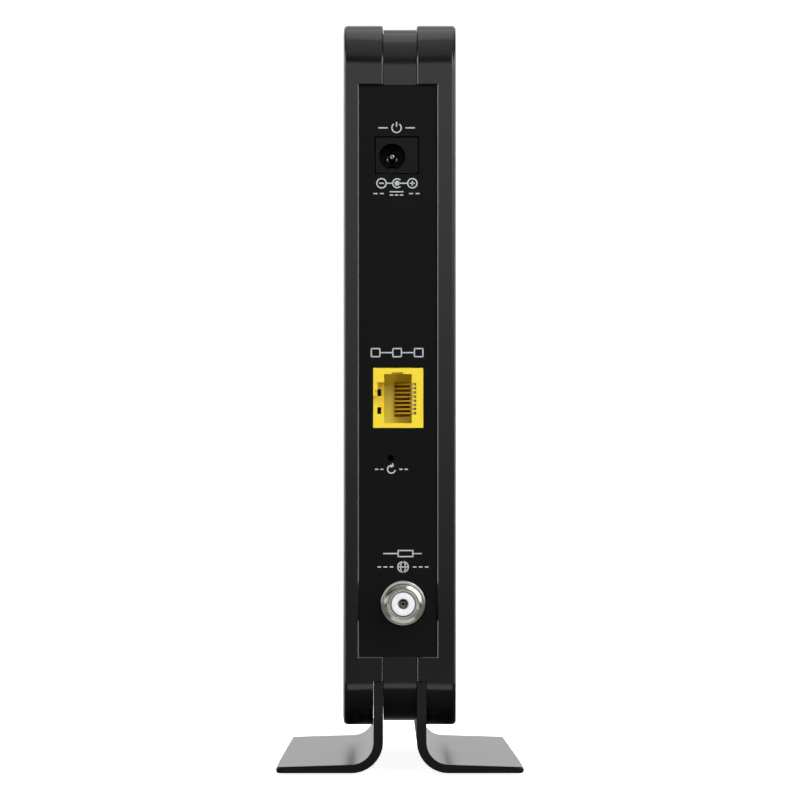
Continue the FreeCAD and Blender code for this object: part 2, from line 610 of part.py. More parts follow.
def main_board():
    board = rounded_box_x(BOARD_FACE, BOARD_BACK, BOARD_REAR, BOARD_FRONT, BOARD_BOTTOM, BOARD_TOP, 2.0)
    holes = [rod_x(1.6, BOARD_FACE - 1, BOARD_BACK + 1, y, z) for y, z in BOARD_SCREWS]
    lug_slot = box(BOARD_FACE - 1, BOARD_BACK + 1, PANEL_Y + 14.0, PANEL_Y + 14.9, POWER_HOLE_Z - 1.3, POWER_HOLE_Z + 1.3)
    return carved(board, holes + [lug_slot])


def board_screws():
    return [screw_x(2.6, 1.2, BOARD_FACE, BOARD_FACE - 1.6, BOARD_BACK + 4.0, y, z) for y, z in BOARD_SCREWS]


def ethernet_transformer():
    y0 = NET_Y + NET_DEPTH + 2.5
    return on_board(5.8, y0, y0 + 9.5, NET_BOTTOM + 0.5, NET_TOP - 0.5)


TUNER = dict(y0=-42.0, y1=-14.0, z0=36.0, z1=68.0)


def tuner_shield_can():
    """Tinned lid over the radio front end, with a ventilated top."""
    t, high = 0.35, 5.6
    y0, y1, z0, z1 = TUNER["y0"], TUNER["y1"], TUNER["z0"], TUNER["z1"]
    can = on_board(high, y0, y1, z0, z1)
    inside = box(BOARD_FACE - high + t, BOARD_FACE + 1, y0 + t, y1 - t, z0 + t, z1 - t)
    rows = [(y0 + 6 + 5.3 * i, z0 + 7 + 6 * j) for i in range(4) for j in range(4)]
    holes = [box(BOARD_FACE - high - 1, BOARD_FACE - high + 1, y - 1, y + 1, z - 1, z + 1) for y, z in rows]
    return carved(can, [inside] + holes)


def tuner_chip():
    return on_board(0.9, -32.0, -25.0, 48.0, 55.0)


def modem_chip():
    half = 11.5
    return on_board(1.6, SINK_Y - half, SINK_Y + half, SINK_Z - half, SINK_Z + half)


def thermal_pad():
    half = 10.5
    x0 = BOARD_FACE - 1.6
    return box(x0 - 0.6, x0, SINK_Y - half, SINK_Y + half, SINK_Z - half, SINK_Z + half)


def heat_sink():
    """Extruded fins on a base, stuck down by the thermal pad."""
    base_x = BOARD_FACE - 2.2
    base_t, fin_h, fin_t, fins = 2.5, 8.5, 1.2, 9
    half = SINK_SIDE / 2
    base = box(base_x - base_t, base_x, SINK_Y - half, SINK_Y + half, SINK_Z - half, SINK_Z + half)
    step = (SINK_SIDE - fin_t) / (fins - 1)
    rows = [box(base_x - base_t - fin_h, base_x - base_t + 0.1, SINK_Y - half + step * i,
                SINK_Y - half + step * i + fin_t, SINK_Z - half, SINK_Z + half) for i in range(fins)]
    return fused([base] + rows)


def memory_chips():
    return [on_board(1.1, -27.0, -17.0, 112.0, 125.0), on_board(1.75, 38.0, 44.0, 122.0, 130.0)]


def electrolytic_capacitors():
    return [rod_x(r, BOARD_FACE - high, BOARD_FACE, y, z)
            for y, z, r, high in ((-34, 161, 4.0, 11.5), (-34, 150, 4.0, 11.5), (44, 148, 3.15, 8.0), (42, 62, 3.15, 8.0))]


def power_inductors():
    return [on_board(4.0, -22.0, -15.0, z, z + 7.0) for z in (157.0, 146.0)]


def crystal_can():
    return rounded_box_x(BOARD_FACE - 3.4, BOARD_FACE, 0.0, 11.0, 72.0, 76.6, 2.2)


def indicator_leds():
    return [on_board(1.3, BOARD_FRONT - 3.2, BOARD_FRONT - 0.4, z - 1.6, z + 1.6) for z in LED_ZS]


def indicator_light_pipe():
    """Clear bar behind the band that carries each LED's light to its window in the band."""
    back, wall = BOARD_FRONT + 0.6, LED_Y - FRAME_INNER
    bar = box(-2.0, BOARD_FACE - 0.1, back, wall - 0.15, LED_ZS[-1] - 4.0, LED_ZS[0] + 4.0)
    half_x, half_z = LED_WINDOW
    heads = [box(-half_x, half_x, wall - 0.3, LED_Y - BAND_INSET, z - half_z, z + half_z) for z in LED_ZS]
    return fused([bar] + heads)


# ------------------------------------------------------------------ the assembly

NODES = {
    "left_cover": left_cover,
    "right_cover": right_cover,
    "centre_frame": centre_frame,
    "port_panel": port_panel,
    "left_foot": lambda: mirrored(right_foot()),
    "right_foot": right_foot,
    "foot_pads": foot_pads,
    "foot_screws": foot_screws,
    "power_jack_housing": power_jack_housing,
    "power_jack_pin": power_jack_pin,
    "power_jack_spring": power_jack_spring,
    "ethernet_jack_housing": ethernet_jack_housing,
    "ethernet_jack_insert": ethernet_jack_insert,
    "ethernet_jack_contacts": ethernet_jack_contacts,
    "ethernet_transformer": ethernet_transformer,
    "reset_switch_body": reset_switch_body,
    "reset_switch_bracket": reset_switch_bracket,
    "reset_switch_terminals": reset_switch_terminals,
    "reset_snap_dome": reset_snap_dome,
    "reset_plunger": reset_plunger,
    "coax_connector_body": coax_connector_body,
    "coax_insulator": coax_insulator,
    "coax_centre_contact": coax_centre_contact,
    "main_board": main_board,
    "board_screws": board_screws,
    "tuner_shield_can": tuner_shield_can,
    "tuner_chip": tuner_chip,
    "modem_chip": modem_chip,
    "thermal_pad": thermal_pad,
    "heat_sink": heat_sink,
    "memory_chips": memory_chips,
    "electrolytic_capacitors": electrolytic_capacitors,
    "power_inductors": power_inductors,
    "crystal_can": crystal_can,
    "indicator_leds": indicator_leds,
    "indicator_light_pipe": indicator_light_pipe,
}


def main():
    os.makedirs("parts", exist_ok=True)
    for name, make in NODES.items():
        made = make()
        shape = Part.makeCompound(made) if isinstance(made, list) else made
        solids = shape.Solids
        sound = all(s.isValid() and s.Volume > 0 for s in solids)
        shape.exportStep("parts/" + name + ".step")
        print(f"{name}: {len(solids)} solid(s), {shape.Volume:.1f} mm3, {'sound' if sound else 'NOT SOUND'}")


main()
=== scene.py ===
# %% [markdown]
# # An upright cable modem: from CAD solids to real materials
#
# The solids of this modem come ready made from a CAD program: covers, centre frame, port panel, feet, jacks and
# the board inside. This lesson keeps them where they are, gives each of them the finish of its real material, and
# rebuilds the small bright pieces that the eye goes to: the threaded coaxial connector, the sprung contact wires,
# the printed signs and the rubber pads. Each new piece is a surface worked out with numpy.

# %% Load the frame
import json
import math

import bmesh
import bpy
import numpy as np
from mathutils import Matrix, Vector

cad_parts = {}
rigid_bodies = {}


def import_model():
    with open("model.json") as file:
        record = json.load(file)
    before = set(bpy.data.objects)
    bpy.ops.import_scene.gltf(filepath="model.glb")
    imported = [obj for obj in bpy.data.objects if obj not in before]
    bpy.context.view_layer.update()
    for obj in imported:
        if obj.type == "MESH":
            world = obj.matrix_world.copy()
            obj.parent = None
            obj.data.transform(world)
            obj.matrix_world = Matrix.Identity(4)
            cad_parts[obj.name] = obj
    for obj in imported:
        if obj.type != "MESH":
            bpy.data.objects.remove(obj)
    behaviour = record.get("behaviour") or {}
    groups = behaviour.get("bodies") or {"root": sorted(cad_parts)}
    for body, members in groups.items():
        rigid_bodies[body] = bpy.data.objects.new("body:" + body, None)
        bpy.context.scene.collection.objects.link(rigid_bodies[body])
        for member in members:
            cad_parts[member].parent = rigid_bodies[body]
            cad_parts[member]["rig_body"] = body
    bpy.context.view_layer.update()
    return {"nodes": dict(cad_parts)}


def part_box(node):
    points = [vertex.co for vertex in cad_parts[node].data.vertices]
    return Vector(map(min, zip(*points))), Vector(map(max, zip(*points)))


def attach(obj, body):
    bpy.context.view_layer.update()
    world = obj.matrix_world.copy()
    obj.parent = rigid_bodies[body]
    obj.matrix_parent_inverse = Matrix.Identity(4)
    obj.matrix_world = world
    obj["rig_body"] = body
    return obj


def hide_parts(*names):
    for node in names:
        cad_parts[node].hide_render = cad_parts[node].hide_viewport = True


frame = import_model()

MM = 0.001
nodes = frame["nodes"]

# %% [markdown]
# ## Places taken from the CAD
#
# A new piece has to sit exactly where the CAD puts it, so every position starts from a node's box. The port side
# looks towards -Y, and +X is to the right when the ports are seen straight on.

# %% Planes and centres


def middle(name):
    """Centre of a CAD node's box."""
    low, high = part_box(name)
    return (low + high) / 2


panel_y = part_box("port_panel")[0].y
case_low, case_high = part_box("left_cover")[0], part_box("right_cover")[1]
print("panel plane at y =", round(panel_y / MM, 2), "mm; case", round((case_high.z - case_low.z) / MM, 1), "mm tall")

# %% [markdown]
# ## Camera
#
# The modem is seen nearly square-on from its port side, from far away through a long lens, so its upright edges
# stay upright. The camera stands a little to the left and just under half height. Whatever Blender shows has to
# be linked into the scene, so a small helper for that comes first.

# %% Camera
CAMERA_DISTANCE = 1270 * MM
CAMERA_LEFT, CAMERA_HEIGHT, AIM_HEIGHT = 5.7 * MM, 85 * MM, 92.4 * MM


def linked(name, data):
    """A new object for this data, in the scene."""
    made = bpy.data.objects.new(name, data)
    bpy.context.scene.collection.objects.link(made)
    return made


camera_data = bpy.data.cameras.new("product_camera")
camera_data.sensor_width = 36.0
camera_data.lens = 232.3
camera_data.clip_end = 50.0
camera = linked("product_camera", camera_data)
camera.location = (-CAMERA_LEFT, case_low.y - CAMERA_DISTANCE, CAMERA_HEIGHT)
aim = Vector((0.0, case_low.y, AIM_HEIGHT))
camera.rotation_euler = (aim - camera.location).to_track_quat("-Z", "Y").to_euler()
bpy.context.scene.camera = camera
print("camera", tuple(round(v, 3) for v in camera.location))

# %% [markdown]
# ## Colour and node helpers
#
# Colours are written as sRGB hex values, as a paint chart gives them, and one function turns them to the linear
# numbers that the shader works with. One small function adds a node, with its settings and its links, and every
# material below is built with it.

# %% Colour and node helpers


def linear(hex_colour):
    """sRGB hex to linear RGBA: c / 12.92 below 0.04045, else ((c + 0.055) / 1.055) to the power 2.4."""
    c = np.array([int(hex_colour[i:i + 2], 16) for i in (1, 3, 5)]) / 255
    c = np.where(c <= 0.04045, c / 12.92, ((c + 0.055) / 1.055) ** 2.4)
    return (*c.tolist(), 1.0)


def add(tree, kind, settings=None, inputs=None):
    """Adds one node. settings are its properties; inputs are socket values, or output sockets to link from."""
    made = tree.nodes.new(kind)
    for name, value in (settings or {}).items():
        setattr(made, name, value)
    for name, value in (inputs or {}).items():
        if isinstance(value, bpy.types.NodeSocket):
            tree.links.new(value, made.inputs[name])
        else:
            made.inputs[name].default_value = value
    return made


def new_finish(name, shader):
    """An empty material with a Principled shader wired to its output; shader holds constants for its sockets."""
    material = bpy.data.materials.new(name)
    material.use_nodes = True
    tree = material.node_tree
    tree.nodes.clear()
    principled = add(tree, "ShaderNodeBsdfPrincipled", inputs=shader)
    add(tree, "ShaderNodeOutputMaterial", inputs={"Surface": principled.outputs[0]})
    return material, tree, principled



def drift(tree, principled, pattern, light, dark, roughness, spread):
    """Lets a noise pattern drive base colour from dark to light, and roughness by +-spread about its middle."""
    colour = add(tree, "ShaderNodeMix", {"data_type": "RGBA"}, {"Factor": pattern.outputs[0]})
    colour.inputs["A"].default_value = linear(dark)
    colour.inputs["B"].default_value = linear(light)
    gloss = add(tree, "ShaderNodeMapRange", inputs={
        "Value": pattern.outputs[0], "From Min": 0.3, "From Max": 0.7,
        "To Min": roughness - spread, "To Max": roughness + spread})
    tree.links.new(colour.outputs["Result"], principled.inputs["Base Color"])
    tree.links.new(gloss.outputs[0], principled.inputs["Roughness"])


print("linear of #808080:", round(linear("#808080")[0], 4))

# %% [markdown]
# ## A recipe for moulded plastic
#
# A moulding takes its finish from its mould. A spark-eroded mould leaves a fine, even grain that spreads the
# light; a polished one leaves gloss. The grain could be modelled, but at 0.05 mm it is far too fine for geometry,
# so it is a bump. It is also too fine to show here, and is drawn about ten times coarser, at 0.3 to 0.8 mm, with a
# height small enough to change only the gloss. A second, broad noise lets colour and gloss drift a little over
# the part, as they do on any real moulding.

# %% Recipe for moulded plastic


def moulded(name, light, dark, roughness, spread, grain_mm, height_mm, ior=1.53, cloud_mm=35.0, extra=None):
    """Moulded plastic. Colour runs from dark to light and roughness by +-spread over clouds of cloud_mm;
    the grain is a noise bump of grain_mm across and height_mm high."""
    material, tree, principled = new_finish(name, {"IOR": ior, **(extra or {})})
    place = add(tree, "ShaderNodeTexCoord").outputs["Object"]
    cloud = add(tree, "ShaderNodeTexNoise", inputs={"Vector": place, "Scale": 1000 / cloud_mm, "Detail": 3.0})
    drift(tree, principled, cloud, light, dark, roughness, spread)
    grain = add(tree, "ShaderNodeTexNoise", inputs={"Vector": place, "Scale": 1000 / grain_mm, "Detail": 2.0})
    bump = add(tree, "ShaderNodeBump", inputs={
        "Height": grain.outputs[0], "Distance": height_mm * MM, "Strength": 1.0})
    tree.links.new(bump.outputs[0], principled.inputs["Normal"])
    return material


print("moulded plastic: IOR 1.53 unless a part says otherwise")

# %% [markdown]
# ## Case plastics
#
# Covers, band, panel and feet are all black ABS with an IOR of 1.53. Only their moulds differ, and on black
# plastic that is the whole look: the covers mirror the studio softly, and the panel between them stays dark.

# %% Case plastics
# ABS from a finely polished mould: long, soft reflections that show the rounded rim.
cover_abs = moulded("satin_gloss_black_abs", "#111111", "#0c0c0c", 0.14, 0.012, 0.6, 0.0005)
# The same ABS from a mould one grade less fine: its reflections are a shade softer than the covers'.
band_abs = moulded("satin_black_abs_band", "#111111", "#0c0c0c", 0.16, 0.012, 0.6, 0.0006)
# ABS from a spark-eroded mould. The microscopic pits trap light, which a lowered specular level stands for.
panel_abs = moulded("matt_black_abs_panel", "#080909", "#060707", 0.30, 0.03, 0.4, 0.003,
                    extra={"Specular IOR Level": 0.13})
# ABS plate, moulded flat and bent warm: dark at its cut edges, pale grey where it is seen along its surface.
foot_abs = moulded("gloss_black_abs_feet", "#0a0a0a", "#060606", 0.27, 0.005, 0.6, 0.00003,
                   extra={"Specular IOR Level": 0.25})
print("case plastics:", cover_abs.name, "to", foot_abs.name)

# %% [markdown]
# ## Connector plastics
#
# A jack is moulded in PBT, which stands the heat of soldering and has an IOR near 1.57. Its mould is matt inside,
# so that the openings look deep. The white core of the coaxial connector is polyethylene, and the reset button is
# acetal, which slides well.

# %% Connector plastics
# PBT with carbon black: matt, and nearly without a highlight inside the socket.
jack_pbt = moulded("black_pbt_jack", "#0c0c0c", "#080808", 0.40, 0.05, 0.35, 0.006, ior=1.57,
                   extra={"Specular IOR Level": 0.15})
# Acetal, injection moulded, deep in its hole; its near-black colour is painted shade for the pinhole, so it shows only
# as the darkest spot on the panel.
acetal_button_painted_shade = moulded("black_acetal_button_painted_shade", "#030303", "#020202", 0.45, 0.04, 0.4, 0.004, ior=1.48,
                     extra={"Specular IOR Level": 0.05})
# Signal-yellow PBT: a satin face that keeps its full colour under the light.
yellow_pbt = moulded("bright_yellow_pbt_jack", "#ffe32a", "#f8da24", 0.36, 0.04, 0.5, 0.003, ior=1.57)
# The carrier is a separate moulding in the same yellow, made darker: painted shade for its place deep in the socket.
yellow_pbt_painted_shade = moulded("painted_shade_yellow_pbt_insert", "#e6d63e", "#dbca38", 0.42, 0.04, 0.5, 0.004, ior=1.57)
# Glass-filled liquid-crystal polymer, rough from the glass, in a dark brown that is partly painted shade between the
# bright wires.
brown_lcp_and_painted_shade = moulded("brown_lcp_comb_painted_shade", "#6b5520", "#574417", 0.5, 0.03, 0.5, 0.001)
# Polyethylene, turned from rod: waxy white with a soft highlight, its clouds as small as the part.
white_pe = moulded("white_polyethylene_core", "#f2f3f6", "#e6e8ee", 0.42, 0.05, 0.4, 0.006, ior=1.51, cloud_mm=3.0)
print("connector plastics:", jack_pbt.name, "to", white_pe.name)

# %% [markdown]
# ## Plastics and ceramics inside the case
#
# These show only through the vents, but each still gets the finish of what it is made of.

# %% Parts inside and rubber
# Epoxy, transfer moulded in a spark-eroded mould: even, dusty dark grey.
chip_epoxy = moulded("black_epoxy_chip", "#202124", "#18191b", 0.62, 0.04, 0.3, 0.01, ior=1.55, cloud_mm=6.0)
# Pressed rubber: almost no highlight, with a grain deep enough to feel.
pad_rubber = moulded("soft_black_rubber", "#1d1d1d", "#161616", 0.85, 0.05, 0.5, 0.05, ior=1.52, cloud_mm=8.0)
# Silicone loaded with ceramic powder and cut from a sheet: dull mid grey.
thermal_silicone = moulded("grey_thermal_silicone", "#8b8f96", "#7b7f86", 0.7, 0.05, 0.4, 0.02, ior=1.41)
# Moulded polyamide LED bodies: clean, slightly warm white.
led_package = moulded("white_led_package", "#efeee6", "#dddccf", 0.4, 0.05, 0.4, 0.004, cloud_mm=2.0)
# Pressed and fired ferrite: a dry, stony grey with a visible grain.
ferrite = moulded("grey_pressed_ferrite", "#45464a", "#34353a", 0.75, 0.05, 0.25, 0.03, ior=1.6, cloud_mm=2.0)
# Thin plastic sleeve shrunk on to the capacitor can: tight and rather shiny.
can_sleeve = moulded("dark_shrink_sleeve", "#1d2136", "#161a2b", 0.28, 0.04, 0.8, 0.003, cloud_mm=5.0)
print(len(bpy.data.materials), "moulded finishes so far")

# %% [markdown]
# ## Metals
#
# Plated and drawn metals are told apart by their tint, their gloss and the direction of their fine marks. The
# marks could be scratched in with a texture; here they are noise stretched along one direction by a Mapping node,
# which follows the way each part was turned, drawn or rolled. Real marks are a few hundredths of a millimetre
# apart, so they too are drawn coarser. A metal keeps the default IOR.

# %% Recipe for metal


def metal(name, light, dark, roughness, spread, stretch, mark_mm, height_mm):
    """Bare or plated metal. stretch is how many times finer the marks are along X, Y and Z than mark_mm."""
    material, tree, principled = new_finish(name, {"Metallic": 1.0})
    place = add(tree, "ShaderNodeTexCoord").outputs["Object"]
    along = add(tree, "ShaderNodeMapping", inputs={"Vector": place, "Scale": stretch})
    marks = add(tree, "ShaderNodeTexNoise", inputs={
        "Vector": along.outputs[0], "Scale": 1000 / mark_mm, "Detail": 3.0})
    drift(tree, principled, marks, light, dark, roughness, spread)
    bump = add(tree, "ShaderNodeBump", inputs={"Height": marks.outputs[0], "Distance": height_mm * MM})
    tree.links.new(bump.outputs[0], principled.inputs["Normal"])
    return material


# %% Metals
# Bright nickel over turned brass: a warm mirror, softened by the rings that the lathe leaves across its axis.
nickel = metal("turned_bright_nickel", "#cfcdc4", "#a9a79c", 0.16, 0.04, (1, 6, 1), 1.6, 0.002)
# Gold flash over drawn spring wire: pale gold with a soft sheen along the wire.
gold_wire = metal("gold_plated_spring_wire", "#fbf0cc", "#e6d6a4", 0.34, 0.05, (1, 1, 4), 0.8, 0.004)
# Nickel-plated pin, polished so that plugs slide on easily: one small, hard glint at its tip.
pin_nickel = metal("polished_pin_nickel", "#b9b7b0", "#96948d", 0.10, 0.02, (1, 4, 1), 1.2, 0.001)
# Hot-dipped tin on steel sheet: dull silver, with soft crystals a couple of millimetres wide.
tin_plate = metal("tin_plated_steel", "#c3c6c8", "#a9acae", 0.34, 0.06, (1, 1, 1), 2.0, 0.006)
# Zinc plating, passivated blue: cool and bright, and a little uneven.
zinc_plate = metal("zinc_plated_screw_steel", "#c8cbd2", "#a3a6ae", 0.30, 0.05, (1, 1, 1), 0.9, 0.004)
# Blackened steel: an oxide film that leaves only a faint grey gleam. On the jack's leaf this darkness is also painted
# shade for the inside of the socket.
blackened_steel_and_shade = metal("blackened_steel_and_socket_shade", "#3a3a3c", "#262628", 0.42, 0.05, (1, 1, 1), 0.9, 0.006)
# Extruded aluminium: fine lines drawn along the upright fins by the die.
sink_alloy = metal("extruded_aluminium", "#b9bcc0", "#9da0a5", 0.38, 0.06, (6, 6, 1), 2.5, 0.004)
print("metals:", nickel.name, "to", sink_alloy.name)

# %% [markdown]
# ## Circuit board
#
# The board is glass-epoxy laminate under green solder mask. Its copper tracks show through as slightly raised,
# lighter lines. A real routing isn't needed behind the vents, so a brick pattern with thin joints stands for it,
# turned to lie in the plane of the board.

# %% Circuit board
# Screen-printed green lacquer over etched copper: glossy, with paler lines where the copper lies under it.
TRACKS_PER_METRE, COPPER_MM = 120.0, 0.03
board_mask, tree, principled = new_finish("green_solder_mask", {"IOR": 1.5, "Roughness": 0.32})
place = add(tree, "ShaderNodeTexCoord").outputs["Object"]
upright = add(tree, "ShaderNodeMapping", inputs={"Vector": place, "Rotation": (0.0, math.pi / 2, 0.0)})
tracks = add(tree, "ShaderNodeTexBrick", {"offset": 0.37, "squash": 0.6, "squash_frequency": 3}, {
    "Vector": upright.outputs[0], "Color1": linear("#0b4a26"), "Color2": linear("#0d5630"),
    "Mortar": linear("#2b7d4b"), "Scale": TRACKS_PER_METRE, "Mortar Size": 0.03, "Brick Width": 0.9,
    "Row Height": 0.25})
relief = add(tree, "ShaderNodeBump", inputs={"Height": tracks.outputs["Fac"], "Distance": COPPER_MM * MM})
tree.links.new(tracks.outputs["Color"], principled.inputs["Base Color"])
tree.links.new(relief.outputs[0], principled.inputs["Normal"])
print("solder mask over", TRACKS_PER_METRE, "track cells to the metre")

# %% [markdown]
# ## Clear acrylic and printing ink
#
# The light pipe is clear acrylic: transmission, an IOR of 1.49, and a roughness that follows the flow of the melt.
# The signs beside the ports are pad printed: a soft pad lifts wet ink off an etched plate and presses it on to the
# panel, which leaves a thin, slightly uneven film.

# %% Clear acrylic and ink
# Acrylic from a polished mould, with faint flow marks about 4 mm wide.
FLOW_MM = 4.0
clear_acrylic, tree, principled = new_finish("clear_moulded_acrylic", {
    "Base Color": linear("#eef1f0"), "IOR": 1.49, "Transmission Weight": 0.85})
place = add(tree, "ShaderNodeTexCoord").outputs["Object"]
flow = add(tree, "ShaderNodeTexNoise", inputs={"Vector": place, "Scale": 1000 / FLOW_MM, "Detail": 2.0})
gloss = add(tree, "ShaderNodeMapRange", inputs={"Value": flow.outputs[0], "To Min": 0.05, "To Max": 0.2})
tree.links.new(gloss.outputs[0], principled.inputs["Roughness"])

# Light grey ink: quite matt, a touch thinner in places where the panel shows through.
print_ink = moulded("light_grey_pad_print_ink", "#ccd0d2", "#b9bec1", 0.55, 0.04, 0.3, 0.003, ior=1.5, cloud_mm=1.2)
print("clear:", clear_acrylic.name, "- ink:", print_ink.name)

# %% [markdown]
# ## Which node gets which finish
#
# A CAD node has one material slot. Assigning to that slot changes its look and leaves its shape alone.

# %% Finishes for the CAD nodes
finish_of = {
    "left_cover": cover_abs, "right_cover": cover_abs, "centre_frame": band_abs, "port_panel": panel_abs,
    "left_foot": foot_abs, "right_foot": foot_abs, "foot_pads": pad_rubber, "foot_screws": blackened_steel_and_shade,
    "power_jack_housing": jack_pbt, "power_jack_pin": nickel, "power_jack_spring": tin_plate,
    "ethernet_jack_housing": yellow_pbt, "ethernet_jack_insert": yellow_pbt_painted_shade, "ethernet_jack_contacts": gold_wire,
    "ethernet_transformer": chip_epoxy, "reset_switch_body": jack_pbt, "reset_switch_bracket": tin_plate,
    "reset_switch_terminals": tin_plate, "reset_snap_dome": tin_plate, "reset_plunger": acetal_button_painted_shade,
    "coax_connector_body": nickel, "coax_insulator": white_pe, "coax_centre_contact": nickel,
    "main_board": board_mask, "board_screws": zinc_plate, "tuner_shield_can": tin_plate, "tuner_chip": chip_epoxy,
    "modem_chip": chip_epoxy, "thermal_pad": thermal_silicone, "heat_sink": sink_alloy,
    "memory_chips": chip_epoxy, "electrolytic_capacitors": can_sleeve, "power_inductors": ferrite,
    "crystal_can": tin_plate, "indicator_leds": led_package, "indicator_light_pipe": clear_acrylic,
}
for name, material in finish_of.items():
    if nodes[name].data.materials:
        nodes[name].data.materials[0] = material
    else:
        nodes[name].data.materials.append(material)
print("nodes without a finish:", sorted(set(nodes) - set(finish_of)))

# %% [markdown]
# ## From arrays to a mesh
#
# Every new piece is a grid of points: rows run one way over the surface and columns the other. The faces between
# them follow a fixed rule, so they can be worked out for the whole grid at once. A column direction that closes on
# itself, such as the way round a tube, wraps. Ends that are left open get one face each.

# %% Faces of a grid


def grid_faces(rows, columns, start=0, wrap_rows=False):
    """Quads (r, c), (r, c+1), (r+1, c+1), (r+1, c) for all r and c, with columns wrapped;
    unless the rows wrap too, one face closes each end."""
    r = np.arange(rows if wrap_rows else rows - 1)[:, None]
    c = np.arange(columns)[None, :]
    after_r, after_c = (r + 1) % rows, (c + 1) % columns
    corner = (r * columns + c, r * columns + after_c, after_r * columns + after_c, after_r * columns + c)
    quads = np.stack([np.broadcast_to(k, (len(r), columns)) for k in corner], axis=-1).reshape(-1, 4) + start
    faces = quads.tolist()
    if not wrap_rows:
        faces.append((np.arange(columns)[::-1] + start).tolist())
        faces.append((np.arange(columns) + (rows - 1) * columns + start).tolist())
    return faces


print("a 3 x 4 tube has", len(grid_faces(3, 4)), "faces with its two end caps")

# %% [markdown]
# One piece may hold several grids, such as the eight wires of a jack. They are joined into one mesh, their faces
# are turned outwards, the piece rides on its body and gets its material, and the CAD nodes it stands in for are
# hidden.

# %% From grids to a piece


def piece(name, parts, material, body="case", replaces=(), sharp=35.0):
    """Joins grids of points, each (points, wrap_rows), into one closed mesh that rides on a body."""
    points, faces = [], []
    count = 0
    for grid, wrap in parts:
        rows, columns = grid.shape[:2]
        faces += grid_faces(rows, columns, count, wrap)
        points.append(grid.reshape(-1, 3))
        count += rows * columns
    mesh = bpy.data.meshes.new(name)
    mesh.from_pydata(np.concatenate(points).tolist(), [], faces)
    work = bmesh.new()
    work.from_mesh(mesh)
    bmesh.ops.recalc_face_normals(work, faces=work.faces)
    work.to_mesh(mesh)
    work.free()
    mesh.shade_smooth()
    mesh.set_sharp_from_angle(angle=math.radians(sharp))
    mesh.materials.append(material)
    made = linked(name, mesh)
    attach(made, body)
    if replaces:
        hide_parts(*replaces)
    print(f"{name}: {len(mesh.polygons)} faces")


# %% [markdown]
# ## Softened edges on moulded parts
#
# No moulded edge is truly sharp: the tool leaves a radius of a tenth of a millimetre or two, and that radius
# catches the light as a fine line. A CAD mesh is loose triangles, so the node is copied, its points are merged, its
# flat faces are made whole again, and only then are its sharp edges bevelled. Weighted normals keep the flat faces
# looking flat.

# %% Recipe for softened copies
MERGE_DISTANCE, FLAT_DEG, SHARP_DEG, SMOOTH_DEG = 2e-6, 0.4, 28.0, 40.0


def eased(name, width_mm, material, rim=None):
    """Copy of a CAD node with every edge sharper than SHARP_DEG bevelled by width_mm. rim = (x, width) first rounds
    the long 45 degree edges that lie further from the middle plane than x, by the wider width; both in mm."""
    mesh = nodes[name].data.copy()
    if "custom_normal" in mesh.attributes:
        mesh.attributes.remove(mesh.attributes["custom_normal"])
    work = bmesh.new()
    work.from_mesh(mesh)
    bmesh.ops.remove_doubles(work, verts=work.verts, dist=MERGE_DISTANCE)
    bmesh.ops.dissolve_limit(work, angle_limit=math.radians(FLAT_DEG), verts=work.verts, edges=work.edges)
    if rim:
        wide = [e for e in work.edges if len(e.link_faces) == 2 and 25 < math.degrees(e.calc_face_angle(0)) < 60
                and min(abs(v.co.x) for v in e.verts) > rim[0] * MM]
        bmesh.ops.bevel(work, geom=wide, offset=rim[1] * MM, offset_type="OFFSET", segments=4, profile=0.5,
                        affect="EDGES", clamp_overlap=True)
        print(f"  {len(wide)} rim edges rounded by {rim[1]} mm")
    edges = [e for e in work.edges if len(e.link_faces) == 2 and e.calc_face_angle(0) > math.radians(SHARP_DEG)]
    bmesh.ops.bevel(work, geom=edges, offset=width_mm * MM, offset_type="OFFSET", segments=2, profile=0.5,
                    affect="EDGES", clamp_overlap=True)
    work.to_mesh(mesh)
    work.free()
    mesh.name = name + "_eased"
    mesh.shade_smooth()
    mesh.set_sharp_from_angle(angle=math.radians(SMOOTH_DEG))
    made = linked(name + "_eased", mesh)
    mesh.materials.clear()
    mesh.materials.append(material)
    made.modifiers.new("flat faces stay flat", "WEIGHTED_NORMAL").keep_sharp = True
    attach(made, nodes[name]["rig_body"])
    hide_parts(name)
    print(f"{made.name}: {len(edges)} edges bevelled, {len(mesh.polygons)} faces")


# %% [markdown]
# ## Covers, band, panel, feet and jack bodies
#
# The jacks' small edges get 0.08 mm and the panel's 0.1 mm. The covers' outer rim is rounded wider, by 0.36 mm,
# because there the two halves of the mould meet and the parting line is polished away by hand.

# %% Softened parts
OUTER_RIM = (12.6, 0.36)
eased("ethernet_jack_housing", 0.08, yellow_pbt)
eased("power_jack_housing", 0.08, jack_pbt)
eased("port_panel", 0.1, panel_abs)
eased("left_cover", 0.06, cover_abs, rim=OUTER_RIM)
eased("right_cover", 0.06, cover_abs, rim=OUTER_RIM)
eased("centre_frame", 0.06, band_abs)
eased("left_foot", 0.06, foot_abs)
eased("right_foot", 0.06, foot_abs)

# %% [markdown]
# ## Coaxial connector: the two curves it needs
#
# The brightest piece is a nickel-plated brass barrel, turned on a lathe, with a 3/8-32 thread, a rolled lip and a
# cone down to the white core. A lathe shape is a profile swept round an axis, and its roundings are arcs.

# %% Turned shapes and arcs


def turned(profile, centre, sides=96):
    """Surface of revolution about a line along Y: point = centre + (r cos a, y, r sin a). profile holds (r, y)
    pairs in mm, with y measured from centre."""
    r, y = np.array(profile, float).T * MM
    a = np.linspace(0, 2 * np.pi, sides, endpoint=False)
    x = centre[0] + r[:, None] * np.cos(a)
    z = centre[2] + r[:, None] * np.sin(a)
    return np.stack([x, np.broadcast_to(centre[1] + y[:, None], x.shape), z], axis=-1)


